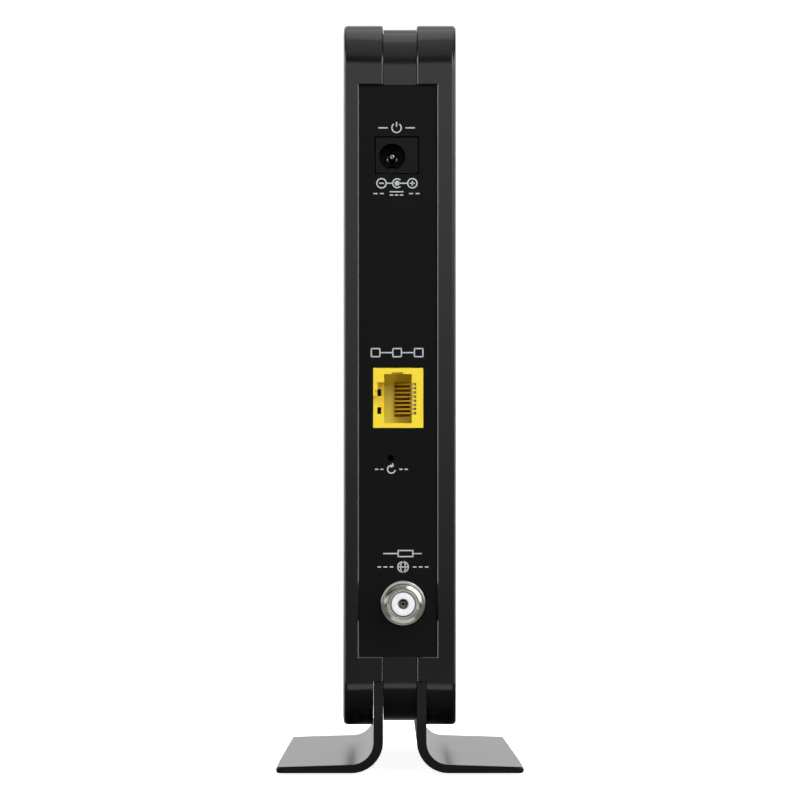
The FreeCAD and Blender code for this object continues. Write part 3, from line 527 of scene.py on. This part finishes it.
def arc_profile(centre_r, centre_y, radius, start_deg, end_deg, steps=10):
    """Points of an arc in the (r, y) plane: r = centre + radius cos a, y = centre + radius sin a."""
    a = np.radians(np.linspace(start_deg, end_deg, steps))
    return np.stack([centre_r + radius * np.cos(a), centre_y + radius * np.sin(a)], -1).tolist()


print("a quarter arc of radius 1 starts at", arc_profile(0, 0, 1, 0, 90, 3)[0])

# %% [markdown]
# A thread isn't quite a lathe shape, because its groove climbs. It could be a helix cut out with a Boolean, which
# leaves ragged faces. Instead the radius is a function of both parameters: crest radius less the groove's depth
# times a wave of (position along the axis / pitch - turns round it).

# %% Thread
BARREL_R, THREAD_PITCH, THREAD_DEPTH = 4.76, 25.4 / 32, 0.42
coax_low, coax_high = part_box("coax_connector_body")
core_low, core_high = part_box("coax_insulator")
coax_centre = ((core_low.x + core_high.x) / 2, coax_low.y, (core_low.z + core_high.z) / 2)


def threaded(profile, first, last, sides=128):
    """turned(), with a thread cut between y = first and last: r = R - depth * w^1.4, where
    w = (1 - cos(2 pi (y / pitch - a / 2 pi))) / 2, fading in and out over one pitch."""
    grid = turned(profile, (0.0, 0.0, 0.0), sides)
    y = grid[..., 1] / MM
    a = np.linspace(0, 2 * np.pi, sides, endpoint=False)[None, :]
    wave = (1 - np.cos(2 * np.pi * (y / THREAD_PITCH - a / (2 * np.pi)))) / 2
    fade = np.clip((y - first) / THREAD_PITCH, 0, 1) * np.clip((last - y) / THREAD_PITCH, 0, 1)
    r = np.hypot(grid[..., 0], grid[..., 2])
    cut = THREAD_DEPTH * MM * wave ** 1.4 * fade * (r > (BARREL_R - 0.05) * MM)
    shrink = 1 - cut / r
    return np.stack([coax_centre[0] + grid[..., 0] * shrink, coax_centre[1] + grid[..., 1],
                     coax_centre[2] + grid[..., 2] * shrink], -1)


print("thread:", round(25.4 / THREAD_PITCH), "turns to the inch,", THREAD_DEPTH, "mm deep")

# %% [markdown]
# ## Coaxial barrel
#
# Its profile runs in one closed loop, in millimetres from the tip: down the cone into the bore, over the rolled
# lip, along the thread, out to the collar and back through the block behind the panel.

# %% Barrel
COLLAR_R, BORE_R, BLOCK_R = 5.55, 2.93, 5.0
THREAD_START, THREAD_STEP = 0.6, 0.06
collar_y = (panel_y - coax_low.y) / MM - 0.6
block_y = (case_low.y - coax_low.y) / MM + 3.6
block_end = (coax_high.y - coax_low.y) / MM

cone = [(BORE_R, 2.2), (BORE_R + 0.06, 1.25), (3.3, 0.62), (3.76, 0.2)] + arc_profile(3.88, 0.12, 0.12, -160, -92, 5)
lip = arc_profile(2.957, 3.862, 3.98, -76, -64.2, 8) + arc_profile(BARREL_R - 0.08, 0.36, 0.08, -60, 0, 5)
thread_run = [(BARREL_R, y) for y in np.arange(THREAD_START, collar_y - 0.1, THREAD_STEP)]
collar = [(BARREL_R, collar_y)] + arc_profile(COLLAR_R - 0.25, collar_y + 0.25, 0.25, -90, 0, 6)
collar += [(COLLAR_R, block_y), (BLOCK_R, block_y), (BLOCK_R, block_end), (BORE_R, block_end)]
barrel = threaded(cone + lip + thread_run + collar, THREAD_START, collar_y - 0.3)
piece("coax_barrel", [(barrel, True)], nickel, replaces=["coax_connector_body"])

# %% [markdown]
# ## Coaxial core
#
# The core is a turned ring of polyethylene that holds the centre contact on the axis. Its front edge is broken by a
# small bevel, and the hole in it is countersunk so that a cable's wire finds its way in.

# %% Core
CORE_R, HOLE_R, SEAT_R = 2.9, 1.29, 0.9
core_y = (core_low.y - coax_low.y) / MM
core_end = (core_high.y - coax_low.y) / MM
core_profile = [(SEAT_R, core_y + 4.0), (HOLE_R, core_y + 4.0), (HOLE_R, core_y + 0.15), (1.42, core_y + 0.02),
                (1.6, core_y), (2.55, core_y), (2.82, core_y + 0.08), (CORE_R, core_y + 0.3), (CORE_R, core_end),
                (SEAT_R, core_end)]
piece("coax_core", [(turned(core_profile, coax_centre), True)], white_pe,
      replaces=["coax_insulator"])

# %% [markdown]
# ## Centre contact
#
# The contact is a tube split into four fingers that grip the wire. Each slit is a narrow dip in the tube's radius:
# shrink = 0.4 exp(-(sin 2a / 0.18)^2), which is zero except at four angles.

# %% Centre contact
FORK_SIDES, FORK_BORE, FORK_R, SLIT_WIDTH, SLIT_DEPTH = 96, 0.34, 0.70, 0.18, 0.4
fork_low, fork_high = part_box("coax_centre_contact")
fork_centre = (coax_centre[0], fork_low.y, coax_centre[2])
fork_end = (fork_high.y - fork_low.y) / MM
fork_profile = [(FORK_BORE, 3.0), (FORK_BORE, 0.12), (0.44, 0.0), (0.60, 0.0), (FORK_R, 0.12), (FORK_R, fork_end),
                (FORK_BORE, fork_end)]
fork = turned(fork_profile, fork_centre, FORK_SIDES)
angle = np.linspace(0, 2 * np.pi, FORK_SIDES, endpoint=False)
outer = np.hypot(fork[..., 0] - fork_centre[0], fork[..., 2] - fork_centre[2]) > 0.4 * MM
slit = np.exp(-(np.sin(2 * angle) / SLIT_WIDTH) ** 2)[None, :] * outer * SLIT_DEPTH
for axis in (0, 2):
    fork[..., axis] = fork_centre[axis] + (fork[..., axis] - fork_centre[axis]) * (1 - slit)
piece("coax_fork", [(fork, True)], nickel, replaces=["coax_centre_contact"])

# %% [markdown]
# ## Bent strips and wires
#
# A bent wire is a section carried along a path: the path is a few points with rounded corners, and the section is
# a rounded rectangle. Blender's curves could do it too, but arrays keep the section exactly upright. Three helpers
# are enough for wires, leaf springs and printed lines.

# %% Paths and sections


def rounded(points, radius, steps=6):
    """Replaces each inner corner of a polyline by a quadratic curve that starts and ends radius away from it:
    (1-t)^2 start + 2 t (1-t) corner + t^2 end."""
    p = np.array(points, float)
    ahead, behind = p[2:] - p[1:-1], p[:-2] - p[1:-1]
    length_a, length_b = np.linalg.norm(ahead, axis=1), np.linalg.norm(behind, axis=1)
    reach = np.minimum(radius, 0.49 * np.minimum(length_a, length_b))[:, None]
    start = p[1:-1] + behind / length_b[:, None] * reach
    end = p[1:-1] + ahead / length_a[:, None] * reach
    t = np.linspace(0, 1, steps)[None, :, None]
    curve = (1 - t) ** 2 * start[:, None] + 2 * t * (1 - t) * p[1:-1][:, None] + t ** 2 * end[:, None]
    return np.concatenate([p[:1], curve.reshape(-1, p.shape[1]), p[-1:]])


def carried(section, path, flat_axis, closed=False):
    """A section (u, v) carried along a path: point = path + u side + v flat_axis, where side is the path's
    direction crossed with flat_axis. A closed path's direction runs from the point before to the point after."""
    path = np.array(path, float)
    ahead = np.roll(path, -1, 0) - np.roll(path, 1, 0) if closed else np.gradient(path, axis=0)
    flat = np.array(flat_axis, float)
    side = np.cross(ahead, flat)
    side /= np.linalg.norm(side, axis=1)[:, None]
    s = np.array(section, float)
    return path[:, None] + s[None, :, :1] * side[:, None] + s[None, :, 1:] * flat


def superellipse(half_u, half_v, power, sides):
    """u = half_u sgn(cos a)|cos a|^(2/power), v the same with sine: an ellipse at power 2, nearly a box at 8."""
    a = np.linspace(0, 2 * np.pi, sides, endpoint=False)
    c, s = np.cos(a), np.sin(a)
    u = half_u * np.sign(c) * np.abs(c) ** (2 / power)
    v = half_v * np.sign(s) * np.abs(s) ** (2 / power)
    return np.stack([u, v], -1)


print("a rounded corner is", len(rounded([(0, 0), (1, 0), (1, 1)], 0.2)) - 2, "points")

# %% [markdown]
# ## Contact wires of the network jack
#
# Eight gold-plated spring wires run forward along the comb, turn round at the mouth and slope in to meet the plug.
# All eight share one path, moved up by the standard pitch of 1.02 mm.

# %% Contact wires
WIRES, WIRE_PITCH, BEND_R = 8, 1.02, 0.45
WIRE_HALF_THICK, WIRE_HALF_WIDE = 0.15, 0.22
wire_low, wire_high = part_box("ethernet_jack_contacts")
wire_zs = (wire_low.z + wire_high.z) / 2 + (np.arange(WIRES) - (WIRES - 1) / 2) * WIRE_PITCH * MM
run_x, mouth_y = wire_high.x - WIRE_HALF_THICK * MM, wire_low.y + WIRE_HALF_THICK * MM
tip_x, tip_y = wire_low.x + WIRE_HALF_THICK * MM, wire_high.y - 0.1 * MM
lift_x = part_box("ethernet_jack_insert")[1].x - 0.06 * MM
slope_x = lift_x * 0.62 + tip_x * 0.38
wire_path = rounded([(run_x, mouth_y + 8 * MM), (run_x, mouth_y), (lift_x, mouth_y), (slope_x, mouth_y + 3.6 * MM),
                     (tip_x, tip_y - 1.2 * MM), (tip_x + 0.1 * MM, tip_y)], BEND_R * MM)
section = superellipse(WIRE_HALF_THICK * MM, WIRE_HALF_WIDE * MM, 4.0, 12)
wires = []
for z in wire_zs:
    path = np.column_stack([wire_path, np.full(len(wire_path), z)])
    wires.append((carried(section, path, (0, 0, 1)), False))
piece("ethernet_contact_wires", wires, gold_wire, replaces=["ethernet_jack_contacts"])

# %% [markdown]
# ## Contact carrier
#
# Behind the wires sits the insert that holds them. Its front is a height field: a flat face, a long slope above
# it, and a pocket behind the wires that gives them room to spring. A smooth step makes the pocket's walls, and
# each row of the grid is one loop round the block.

# %% Front of the carrier
FACE_DEPTH, SLOPE_HIGH, SLOPE_DEEP, POCKET_DEEP, WALL = 2.6, 2.7, 2.6, 2.4, 0.2
insert_low, insert_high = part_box("ethernet_jack_insert")
face_y = insert_low.y + FACE_DEPTH * MM


def smooth(value, edge, width=WALL * MM):
    """0 below edge, 1 above it, with the curve 3 t^2 - 2 t^3 over width."""
    t = np.clip((value - edge) / width + 0.5, 0, 1)
    return t * t * (3 - 2 * t)


across = np.linspace(insert_low.x, insert_high.x, 60)
up = np.concatenate([np.linspace(insert_low.z, insert_high.z - 2.9 * MM, 60),
                     np.linspace(insert_high.z - 2.8 * MM, insert_high.z, 16)])
slope = np.clip(up - (insert_high.z - SLOPE_HIGH * MM), 0, None) * (SLOPE_DEEP / SLOPE_HIGH)
pocket_across = smooth(across, tip_x + 0.1 * MM) - smooth(across, insert_high.x - 0.3 * MM)
pocket_up = smooth(up, wire_zs[0] - 0.7 * MM) - smooth(up, wire_zs[-1] + 0.45 * MM)
front_y = face_y - slope[:, None] + POCKET_DEEP * MM * pocket_across[None, :] * pocket_up[:, None]
print("pocket floor", round((front_y.max() - face_y) / MM, 2), "mm behind the face")

# %% Carrier


def block(columns_x, front, back_y, rows_z):
    """Closed block: each row is the loop (x, front(z, x)) one way and (x, back) the other, at height z."""
    loop_x = np.concatenate([columns_x, columns_x[::-1]])
    loop_y = np.concatenate([front, np.full_like(front, back_y)], axis=1)
    return np.stack([np.broadcast_to(loop_x, loop_y.shape), loop_y, np.broadcast_to(rows_z[:, None], loop_y.shape)], -1)


carrier = block(across, front_y, insert_high.y, up)
# The carrier's darker yellow is painted shade for its place deep in the socket.
piece("contact_carrier", [(carrier, False)], yellow_pbt_painted_shade, replaces=["ethernet_jack_insert"])

# %% [markdown]
# In the pocket stands a brown guide comb. Each wire runs in a groove of its own, which keeps the eight apart while
# a plug presses on them. The comb's front is a cosine of the height with one groove at every wire. Its dark brown
# is partly painted shade for the gaps between the wires.

# %% Guide comb
GROOVE_DEEP, COMB_FRONT, COMB_BACK = 0.35, 1.05, 2.5
comb_x = np.linspace(tip_x + 0.25 * MM, insert_high.x - 0.45 * MM, 8)
comb_z = np.linspace(wire_zs[0] - 0.42 * MM, wire_zs[-1] + 0.25 * MM, 150)
groove = (1 - np.cos(2 * np.pi * (comb_z - wire_zs[0]) / (WIRE_PITCH * MM))) / 2
comb_front = face_y + COMB_FRONT * MM - GROOVE_DEEP * MM * groove
comb_front = np.repeat(comb_front[:, None], len(comb_x), axis=1)
comb = block(comb_x, comb_front, face_y + COMB_BACK * MM, comb_z)
# The comb's dark brown is partly painted shade between the wires.
piece("guide_comb", [(comb, False)], brown_lcp_and_painted_shade)

# %% [markdown]
# ## Power jack pin
#
# The pin is turned from brass rod, with a small rounded nose, a steep shoulder that leads the plug on, and a centre
# mark left by the lathe. A flat lug crosses its far end and goes down to the board.

# %% Power pin
PIN_R, LUG_HALF_HIGH, LUG_HALF_THICK = 1.04, 1.1, 0.25
pin_low, pin_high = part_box("power_jack_pin")
pin_centre = (middle("power_jack_spring").x, pin_low.y, (pin_low.z + pin_high.z) / 2)
pin_end = (pin_high.y - pin_low.y) / MM
pin_profile = [(0.06, 0.22), (0.17, 0.1), (0.26, 0.02)] + arc_profile(0.36, 0.3, 0.3, -92, -25, 10)
pin_profile += [(0.8, 0.62), (PIN_R, 1.5), (PIN_R, pin_end - 0.5)]
lug_y = pin_high.y - LUG_HALF_THICK * MM
lug = carried(superellipse(LUG_HALF_THICK * MM, LUG_HALF_HIGH * MM, 6.0, 16),
              [(pin_centre[0] - 1.5 * MM, lug_y, pin_centre[2]), (pin_high.x, lug_y, pin_centre[2])], (0, 0, 1))
piece("power_pin", [(turned(pin_profile, pin_centre, 48), False), (lug, False)], pin_nickel,
      replaces=["power_jack_pin"])

# %% [markdown]
# ## Power jack leaf
#
# The leaf is a strip of sprung steel under the pin, in blackened steel that is partly painted shade for the inside
# of the socket. One gentle hump, a bell curve of the distance along it, presses on the plug's outer sleeve.

# %% Power leaf
LEAF_POINTS, LEAF_SETBACK = 40, 3.0
leaf_low, leaf_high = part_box("power_jack_spring")
along = np.linspace(0, 1, LEAF_POINTS)
hump = 0.3 * (leaf_high.z - leaf_low.z) * np.exp(-((along - 0.6) / 0.12) ** 2)
leaf_start, leaf_long = leaf_low.y + LEAF_SETBACK * MM, leaf_high.y - leaf_low.y - LEAF_SETBACK * MM
leaf_path = np.column_stack([np.full(LEAF_POINTS, (leaf_low.x + leaf_high.x) / 2), leaf_start + along * leaf_long,
                             leaf_low.z + 0.15 * MM + hump])
leaf = carried(superellipse(0.15 * MM, 0.6 * MM, 6.0, 16), leaf_path, (1, 0, 0))
# The leaf's blackened steel is partly painted shade for the inside of the socket.
piece("power_leaf", [(leaf, False)], blackened_steel_and_shade, replaces=["power_jack_spring"])

# %% [markdown]
# ## Rubber pads
#
# Each pad is a low cushion under a foot: a superellipse in plan whose edge rolls in. Its height is a function of
# the ring number, so the whole pad is one grid of rings.

# %% Rubber pads
pads_low, pads_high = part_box("foot_pads")
PAD_HALF_X, PAD_HALF_Y = 3.5, 8.0
pad_x = pads_high.x - PAD_HALF_X * MM
pad_ys = (pads_low.y + PAD_HALF_Y * MM, pads_high.y - PAD_HALF_Y * MM)
pad_top = pads_high.z
rings = np.array([(0.90, 0.0), (0.97, 0.06), (1.0, 0.2), (1.0, 1.0)])
pads = []
for x in (-pad_x, pad_x):
    for y in pad_ys:
        plan = superellipse(PAD_HALF_X * MM, PAD_HALF_Y * MM, 4.0, 48)
        ring_points = rings[:, :1, None] * plan[None]
        height = np.broadcast_to(rings[:, 1:2] * pad_top, ring_points.shape[:2])
        pads.append((np.stack([x + ring_points[..., 0], y + ring_points[..., 1], height], -1), False))
piece("rubber_pads", pads, pad_rubber, replaces=["foot_pads"])

# %% [markdown]
# ## Printed signs: ribbons, rings and dots
#
# The signs beside the ports are plain pictograms. Each line is a ribbon of ink 0.3 mm wide, drawn 0.03 mm thick,
# so it is again a section carried along a path. Circles are closed paths, and dots are small discs. All strokes
# are collected and become one piece at the end.

# %% Strokes
INK_WIDE, INK_THICK = 0.30, 0.03
OUT_OF_PANEL = (0, -1, 0)
ink_section = np.array([(-0.5, 0.0), (0.5, 0.0), (0.5, 1.0), (-0.5, 1.0)]) * (INK_WIDE * MM, INK_THICK * MM)
strokes = []


def line(*points, wide=1.0):
    """Straight ribbon through points given as (x, z) in mm on the panel."""
    path = np.array([(x * MM, panel_y, z * MM) for x, z in points])
    dense = np.concatenate([np.linspace(a, b, 3)[:-1] for a, b in zip(path[:-1], path[1:])] + [path[-1:]])
    strokes.append((carried(ink_section * (wide, 1.0), dense, OUT_OF_PANEL), False))


def dash(x, z, half_long):
    """Level ribbon, half_long to each side of (x, z) in mm."""
    line((x - half_long, z), (x + half_long, z))


def ring(x, z, radius, start=0.0, end=360.0, squeeze=1.0):
    """Circle or arc: x + squeeze radius cos a, z + radius sin a, angles in degrees from +X towards +Z."""
    whole = end - start >= 360
    a = np.radians(np.linspace(start, end, 32 if whole else 25, endpoint=not whole))
    path = np.column_stack([x + squeeze * radius * np.cos(a), np.full(len(a), panel_y / MM),
                            z + radius * np.sin(a)]) * MM
    strokes.append((carried(ink_section, path, OUT_OF_PANEL, whole), whole))


def dot(x, z, radius):
    """Filled disc: two rings of the same radius, one on the panel and one INK_THICK above it."""
    rim = [(radius, 0.0), (radius, -INK_THICK)]
    strokes.append((turned(rim, (x * MM, panel_y, z * MM), 32), False))


print("ink lines", INK_WIDE, "mm wide")

# %% [markdown]
# ## Signs of the power jack
#
# Above the jack is the sign for power, a ring broken at the top by a short bar. Below it is the standard sign for
# the plug's polarity, with the pin as a dot in a broken ring and the sleeve outside it, and the sign for direct
# current, a line over three dashes.

# %% Power sign
jack_x, jack_z = middle("power_jack_housing").x / MM, middle("power_jack_housing").z / MM
sign_x = -0.85
z = jack_z + 6.75
ring(sign_x, z, 1.15, 125, 415)
line((sign_x, z + 0.25), (sign_x, z + 1.45))
line((sign_x - 4.5, z), (sign_x - 2.2, z))
line((sign_x + 2.2, z), (sign_x + 4.5, z))
print("power sign at z =", round(z, 2), "mm")

# %% Polarity sign
z = jack_z - 6.9
ring(sign_x + 0.15, z, 1.1, 45, 315)
dot(sign_x + 0.15, z, 0.62)
for shift in (-3.7, 3.9):
    ring(sign_x + shift, z, 1.15)
    dash(sign_x + shift, z, 0.6)
line((sign_x + 3.9, z - 0.6), (sign_x + 3.9, z + 0.6))
line((sign_x - 2.5, z), (sign_x - 0.95, z))
line((sign_x + 0.5, z), (sign_x + 2.75, z))
print("polarity sign at z =", round(z, 2), "mm")

# %% Direct current sign
z = jack_z - 9.45
dash(sign_x, z + 0.45, 1.7)
for shift in (-1.25, 0.0, 1.25):
    dash(sign_x + shift, z - 0.35, 0.42)
for shift in (-5.2, -3.6, 3.6, 5.2):
    dash(sign_x + shift, z, 0.5)
print(len(strokes), "strokes so far")

# %% [markdown]
# ## Signs of the network jack and the reset hole
#
# Three boxes in a row, joined by lines, stand for a network. Under the pinhole an arrow turns back on itself.

# %% Network sign
BOX_HALF_WIDE, BOX_HALF_HIGH, BOX_PITCH = 1.05, 1.0, 5.3
net_x, net_z = -0.7, middle("ethernet_jack_housing").z / MM
z = net_z + 11.15
for shift in (-BOX_PITCH, 0.0, BOX_PITCH):
    low, high = z - BOX_HALF_HIGH, z + BOX_HALF_HIGH
    left, right = net_x + shift - BOX_HALF_WIDE, net_x + shift + BOX_HALF_WIDE
    line((left, low), (right, low))
    line((left, high), (right, high))
    line((left, low), (left, high))
    line((right, low), (right, high))
line((net_x - 4.25, z), (net_x - 1.05, z))
line((net_x + 1.05, z), (net_x + 4.25, z))
print("network sign at z =", round(z, 2), "mm")

# %% Reset sign
reset_x, reset_z = middle("reset_plunger").x / MM, middle("reset_plunger").z / MM
z = reset_z - 2.75
ring(reset_x + 0.15, z, 0.95, 60, 350)
line((reset_x + 0.35, z + 1.45), (reset_x + 0.65, z + 0.8), (reset_x - 0.05, z + 0.55))
for shift in (-3.5, -2.2, 2.5, 3.8):
    dash(reset_x + shift, z, 0.4)
print("reset sign at z =", round(z, 2), "mm")

# %% [markdown]
# ## Signs of the coaxial connector
#
# Above the connector are a cable with its plug and, under that, a globe for the internet: a circle with a narrower
# one inside it, which is the same ring squeezed in X.

# %% Cable and globe signs
coax_x, coax_z = coax_centre[0] / MM, coax_centre[2] / MM
z = coax_z + 12.2
line((coax_x - 4.9, z), (coax_x - 1.2, z))
for side in (-0.75, 0.75):
    line((coax_x - 1.2, z + side), (coax_x + 2.4, z + side))
line((coax_x - 1.2, z - 0.9), (coax_x - 1.2, z + 0.9))
line((coax_x + 2.4, z - 0.9), (coax_x + 2.4, z + 0.9))
line((coax_x + 2.4, z), (coax_x + 4.6, z), wide=0.8)

z = coax_z + 8.9
ring(coax_x, z, 1.3)
ring(coax_x, z, 1.3, squeeze=0.45)
dash(coax_x, z, 1.3)
for side in (-1, 1):
    for start in (2.4, 3.9, 5.4):
        line((coax_x + side * start, z), (coax_x + side * (start + 0.9), z))
piece("port_signs", strokes, print_ink, sharp=30)

# %% [markdown]
# ## Floor
#
# The modem stands on a plain sheet of white acrylic, lit from below, that runs out of view in every direction. Its
# own glow keeps it white and leaves only a breath of shadow. It is kept out of reflections and bounced light, so
# that the black plastics get their light from the studio alone.

# %% Floor
FLOOR_HALF = 6.0
floor_mesh = bpy.data.meshes.new("studio_floor")
corners = [(x * FLOOR_HALF, y * FLOOR_HALF, 0) for x, y in ((-1, -1), (1, -1), (1, 1), (-1, 1))]
floor_mesh.from_pydata(corners, [], [(0, 1, 2, 3)])
floor = linked("studio_floor", floor_mesh)
# Cast acrylic sheet, sanded on top: white and quite without gloss, with the faintest mottle.
table_acrylic, tree, principled = new_finish("white_light_table_acrylic", {
    "Roughness": 0.9, "IOR": 1.49, "Specular IOR Level": 0.1,
    "Emission Color": linear("#ffffff"), "Emission Strength": 0.93})
place = add(tree, "ShaderNodeTexCoord").outputs["Object"]
mottle = add(tree, "ShaderNodeTexNoise", inputs={"Vector": place, "Scale": 400.0})
tone = add(tree, "ShaderNodeMix", {"data_type": "RGBA"}, {"Factor": mottle.outputs[0]})
tone.inputs["A"].default_value = linear("#f4f4f3")
tone.inputs["B"].default_value = linear("#f8f8f7")
tree.links.new(tone.outputs["Result"], principled.inputs["Base Color"])
floor_mesh.materials.append(table_acrylic)
floor.visible_glossy = floor.visible_diffuse = False
print("floor", 2 * FLOOR_HALF, "m wide")

# %% [markdown]
# ## Cyclorama
#
# A white cyclorama closes the studio above the floor: half a ball, given by ring and turn angles. It is what shows
# behind the modem, while the light and the reflections come from the world outside it.

# %% Cyclorama
RINGS, TURNS = 24, 96
rise_angle, turn_angle = np.meshgrid(np.linspace(-0.02, np.pi / 2 - 0.001, RINGS),
                                     np.linspace(0, 2 * np.pi, TURNS, endpoint=False), indexing="ij")
dome = 0.98 * FLOOR_HALF * np.stack([np.cos(rise_angle) * np.sin(turn_angle),
                                     np.cos(rise_angle) * np.cos(turn_angle), np.sin(rise_angle)], -1)
dome_mesh = bpy.data.meshes.new("studio_cyclorama")
dome_mesh.from_pydata(dome.reshape(-1, 3).tolist(), [], grid_faces(RINGS, TURNS))
cyclorama = linked("studio_cyclorama", dome_mesh)
dome_mesh.materials.append(table_acrylic)
cyclorama.visible_glossy = cyclorama.visible_diffuse = False
cyclorama.visible_transmission = cyclorama.visible_shadow = False
print("cyclorama:", len(dome_mesh.polygons), "faces")

# %% [markdown]
# ## The room that the plastics mirror
#
# On black plastic the light is nearly all reflection, so the room is graded by height. In front, a bright band lies
# at the horizon, a dark band above it draws the dark line under the rounded top, and the ceiling is light again.
# Behind the modem the horizon is bright, which greys the tops of the feet. Each list gives the sine of the
# elevation and the level there, and the two are blended by how far a direction points to the back.

# %% World
FRONT_LEVELS = [(-1.0, 0.04), (-0.5, 0.09), (-0.2, 0.13), (-0.04, 0.08), (0.06, 1.06), (0.19, 1.0), (0.29, 0.05),
                (0.46, 0.08), (0.60, 0.42), (0.94, 0.70), (1.0, 0.8)]
BACK_LEVELS = [(-1.0, 0.08), (-0.45, 0.3), (-0.05, 0.5), (-0.02, 1.08), (0.4, 1.08), (0.75, 0.55), (1.0, 0.8)]
world = bpy.data.worlds.new("studio_room")
bpy.context.scene.world = world
world.use_nodes = True
sky = world.node_tree
sky.nodes.clear()
place = add(sky, "ShaderNodeTexCoord").outputs["Generated"]
axes = add(sky, "ShaderNodeSeparateXYZ", inputs={"Vector": place})
rise = add(sky, "ShaderNodeMapRange", inputs={"Value": axes.outputs["Z"], "From Min": -1.0, "From Max": 1.0})


def graded(pairs):
    """Grey ramp over the height of a direction, -1 straight down to 1 straight up."""
    ramp = add(sky, "ShaderNodeValToRGB", inputs={"Fac": rise.outputs[0]})
    stops = ramp.color_ramp.elements
    while len(stops) < len(pairs):
        stops.new(0.5)
    for stop, (height, level) in zip(stops, pairs):
        stop.position = (height + 1) / 2
        stop.color = (level, level, level, 1.0)
    return ramp.outputs["Color"]


behind = add(sky, "ShaderNodeMapRange", {"interpolation_type": "SMOOTHSTEP"}, {
    "Value": axes.outputs["Y"], "From Min": 0.55, "From Max": 0.95})
mixed = add(sky, "ShaderNodeMix", {"data_type": "RGBA"}, {"Factor": behind.outputs[0]})
sky.links.new(graded(FRONT_LEVELS), mixed.inputs["A"])
sky.links.new(graded(BACK_LEVELS), mixed.inputs["B"])
background = add(sky, "ShaderNodeBackground", inputs={"Color": mixed.outputs["Result"], "Strength": 1.0})
add(sky, "ShaderNodeOutputWorld", inputs={"Surface": background.outputs[0]})
print("room graded by", len(FRONT_LEVELS), "levels in front and", len(BACK_LEVELS), "behind")

# %% [markdown]
# ## Softboxes
#
# A wide softbox overhead lights the rounded top, and two tall, narrow ones at the sides draw the fine lines along
# the bevelled edges. One high on the right puts the crescent of light on the nickel barrel, and two small ones on
# the table light it from below. The last, in front, is kept out of reflections: it brings up the yellow and the
# ink without greying the black.

# %% Softboxes


def softbox(name, place, size, watts, aim_at=(0.0, 0.0, 0.09), roll=0.0):
    """A rectangular area light at place (metres), facing aim_at, turned by roll degrees, unseen by the camera."""
    data = bpy.data.lights.new(name, "AREA")
    data.shape, data.size, data.size_y, data.energy = "RECTANGLE", size[0], size[1], watts
    made = linked(name, data)
    made.location = place
    made.rotation_euler = (Vector(aim_at) - made.location).to_track_quat("-Z", "Y").to_euler()
    made.rotation_euler.rotate_axis("Z", math.radians(roll))
    made.visible_camera = False
    return made


STRIP_HEIGHT = 0.28
softbox("overhead_softbox", (0.0, 0.35, 1.5), (1.8, 1.2), 4.0)
for name, x in (("left_strip", -0.8), ("right_strip", 0.8)):
    softbox(name, (x, case_low.y, STRIP_HEIGHT), (0.1, 0.62), 1.2, (0.0, case_low.y, STRIP_HEIGHT))
softbox("barrel_key", (0.46, -0.823, 0.47), (0.66, 0.44), 3.9, (0.0, case_low.y, 0.045), -42.0)
softbox("low_fill", (0.0, -0.26, 0.0015), (0.5, 0.30), 0.08, (0.0, -0.26, 1.0))
softbox("barrel_fill", (0.0, -0.108, 0.012), (0.05, 0.05), 0.006, (0.0, -0.108, 1.0))
softbox("front_soft", (0.1, -1.6, 1.2), (1.5, 1.5), 15.6).visible_glossy = False
bpy.context.scene.view_settings.view_transform = "Standard"
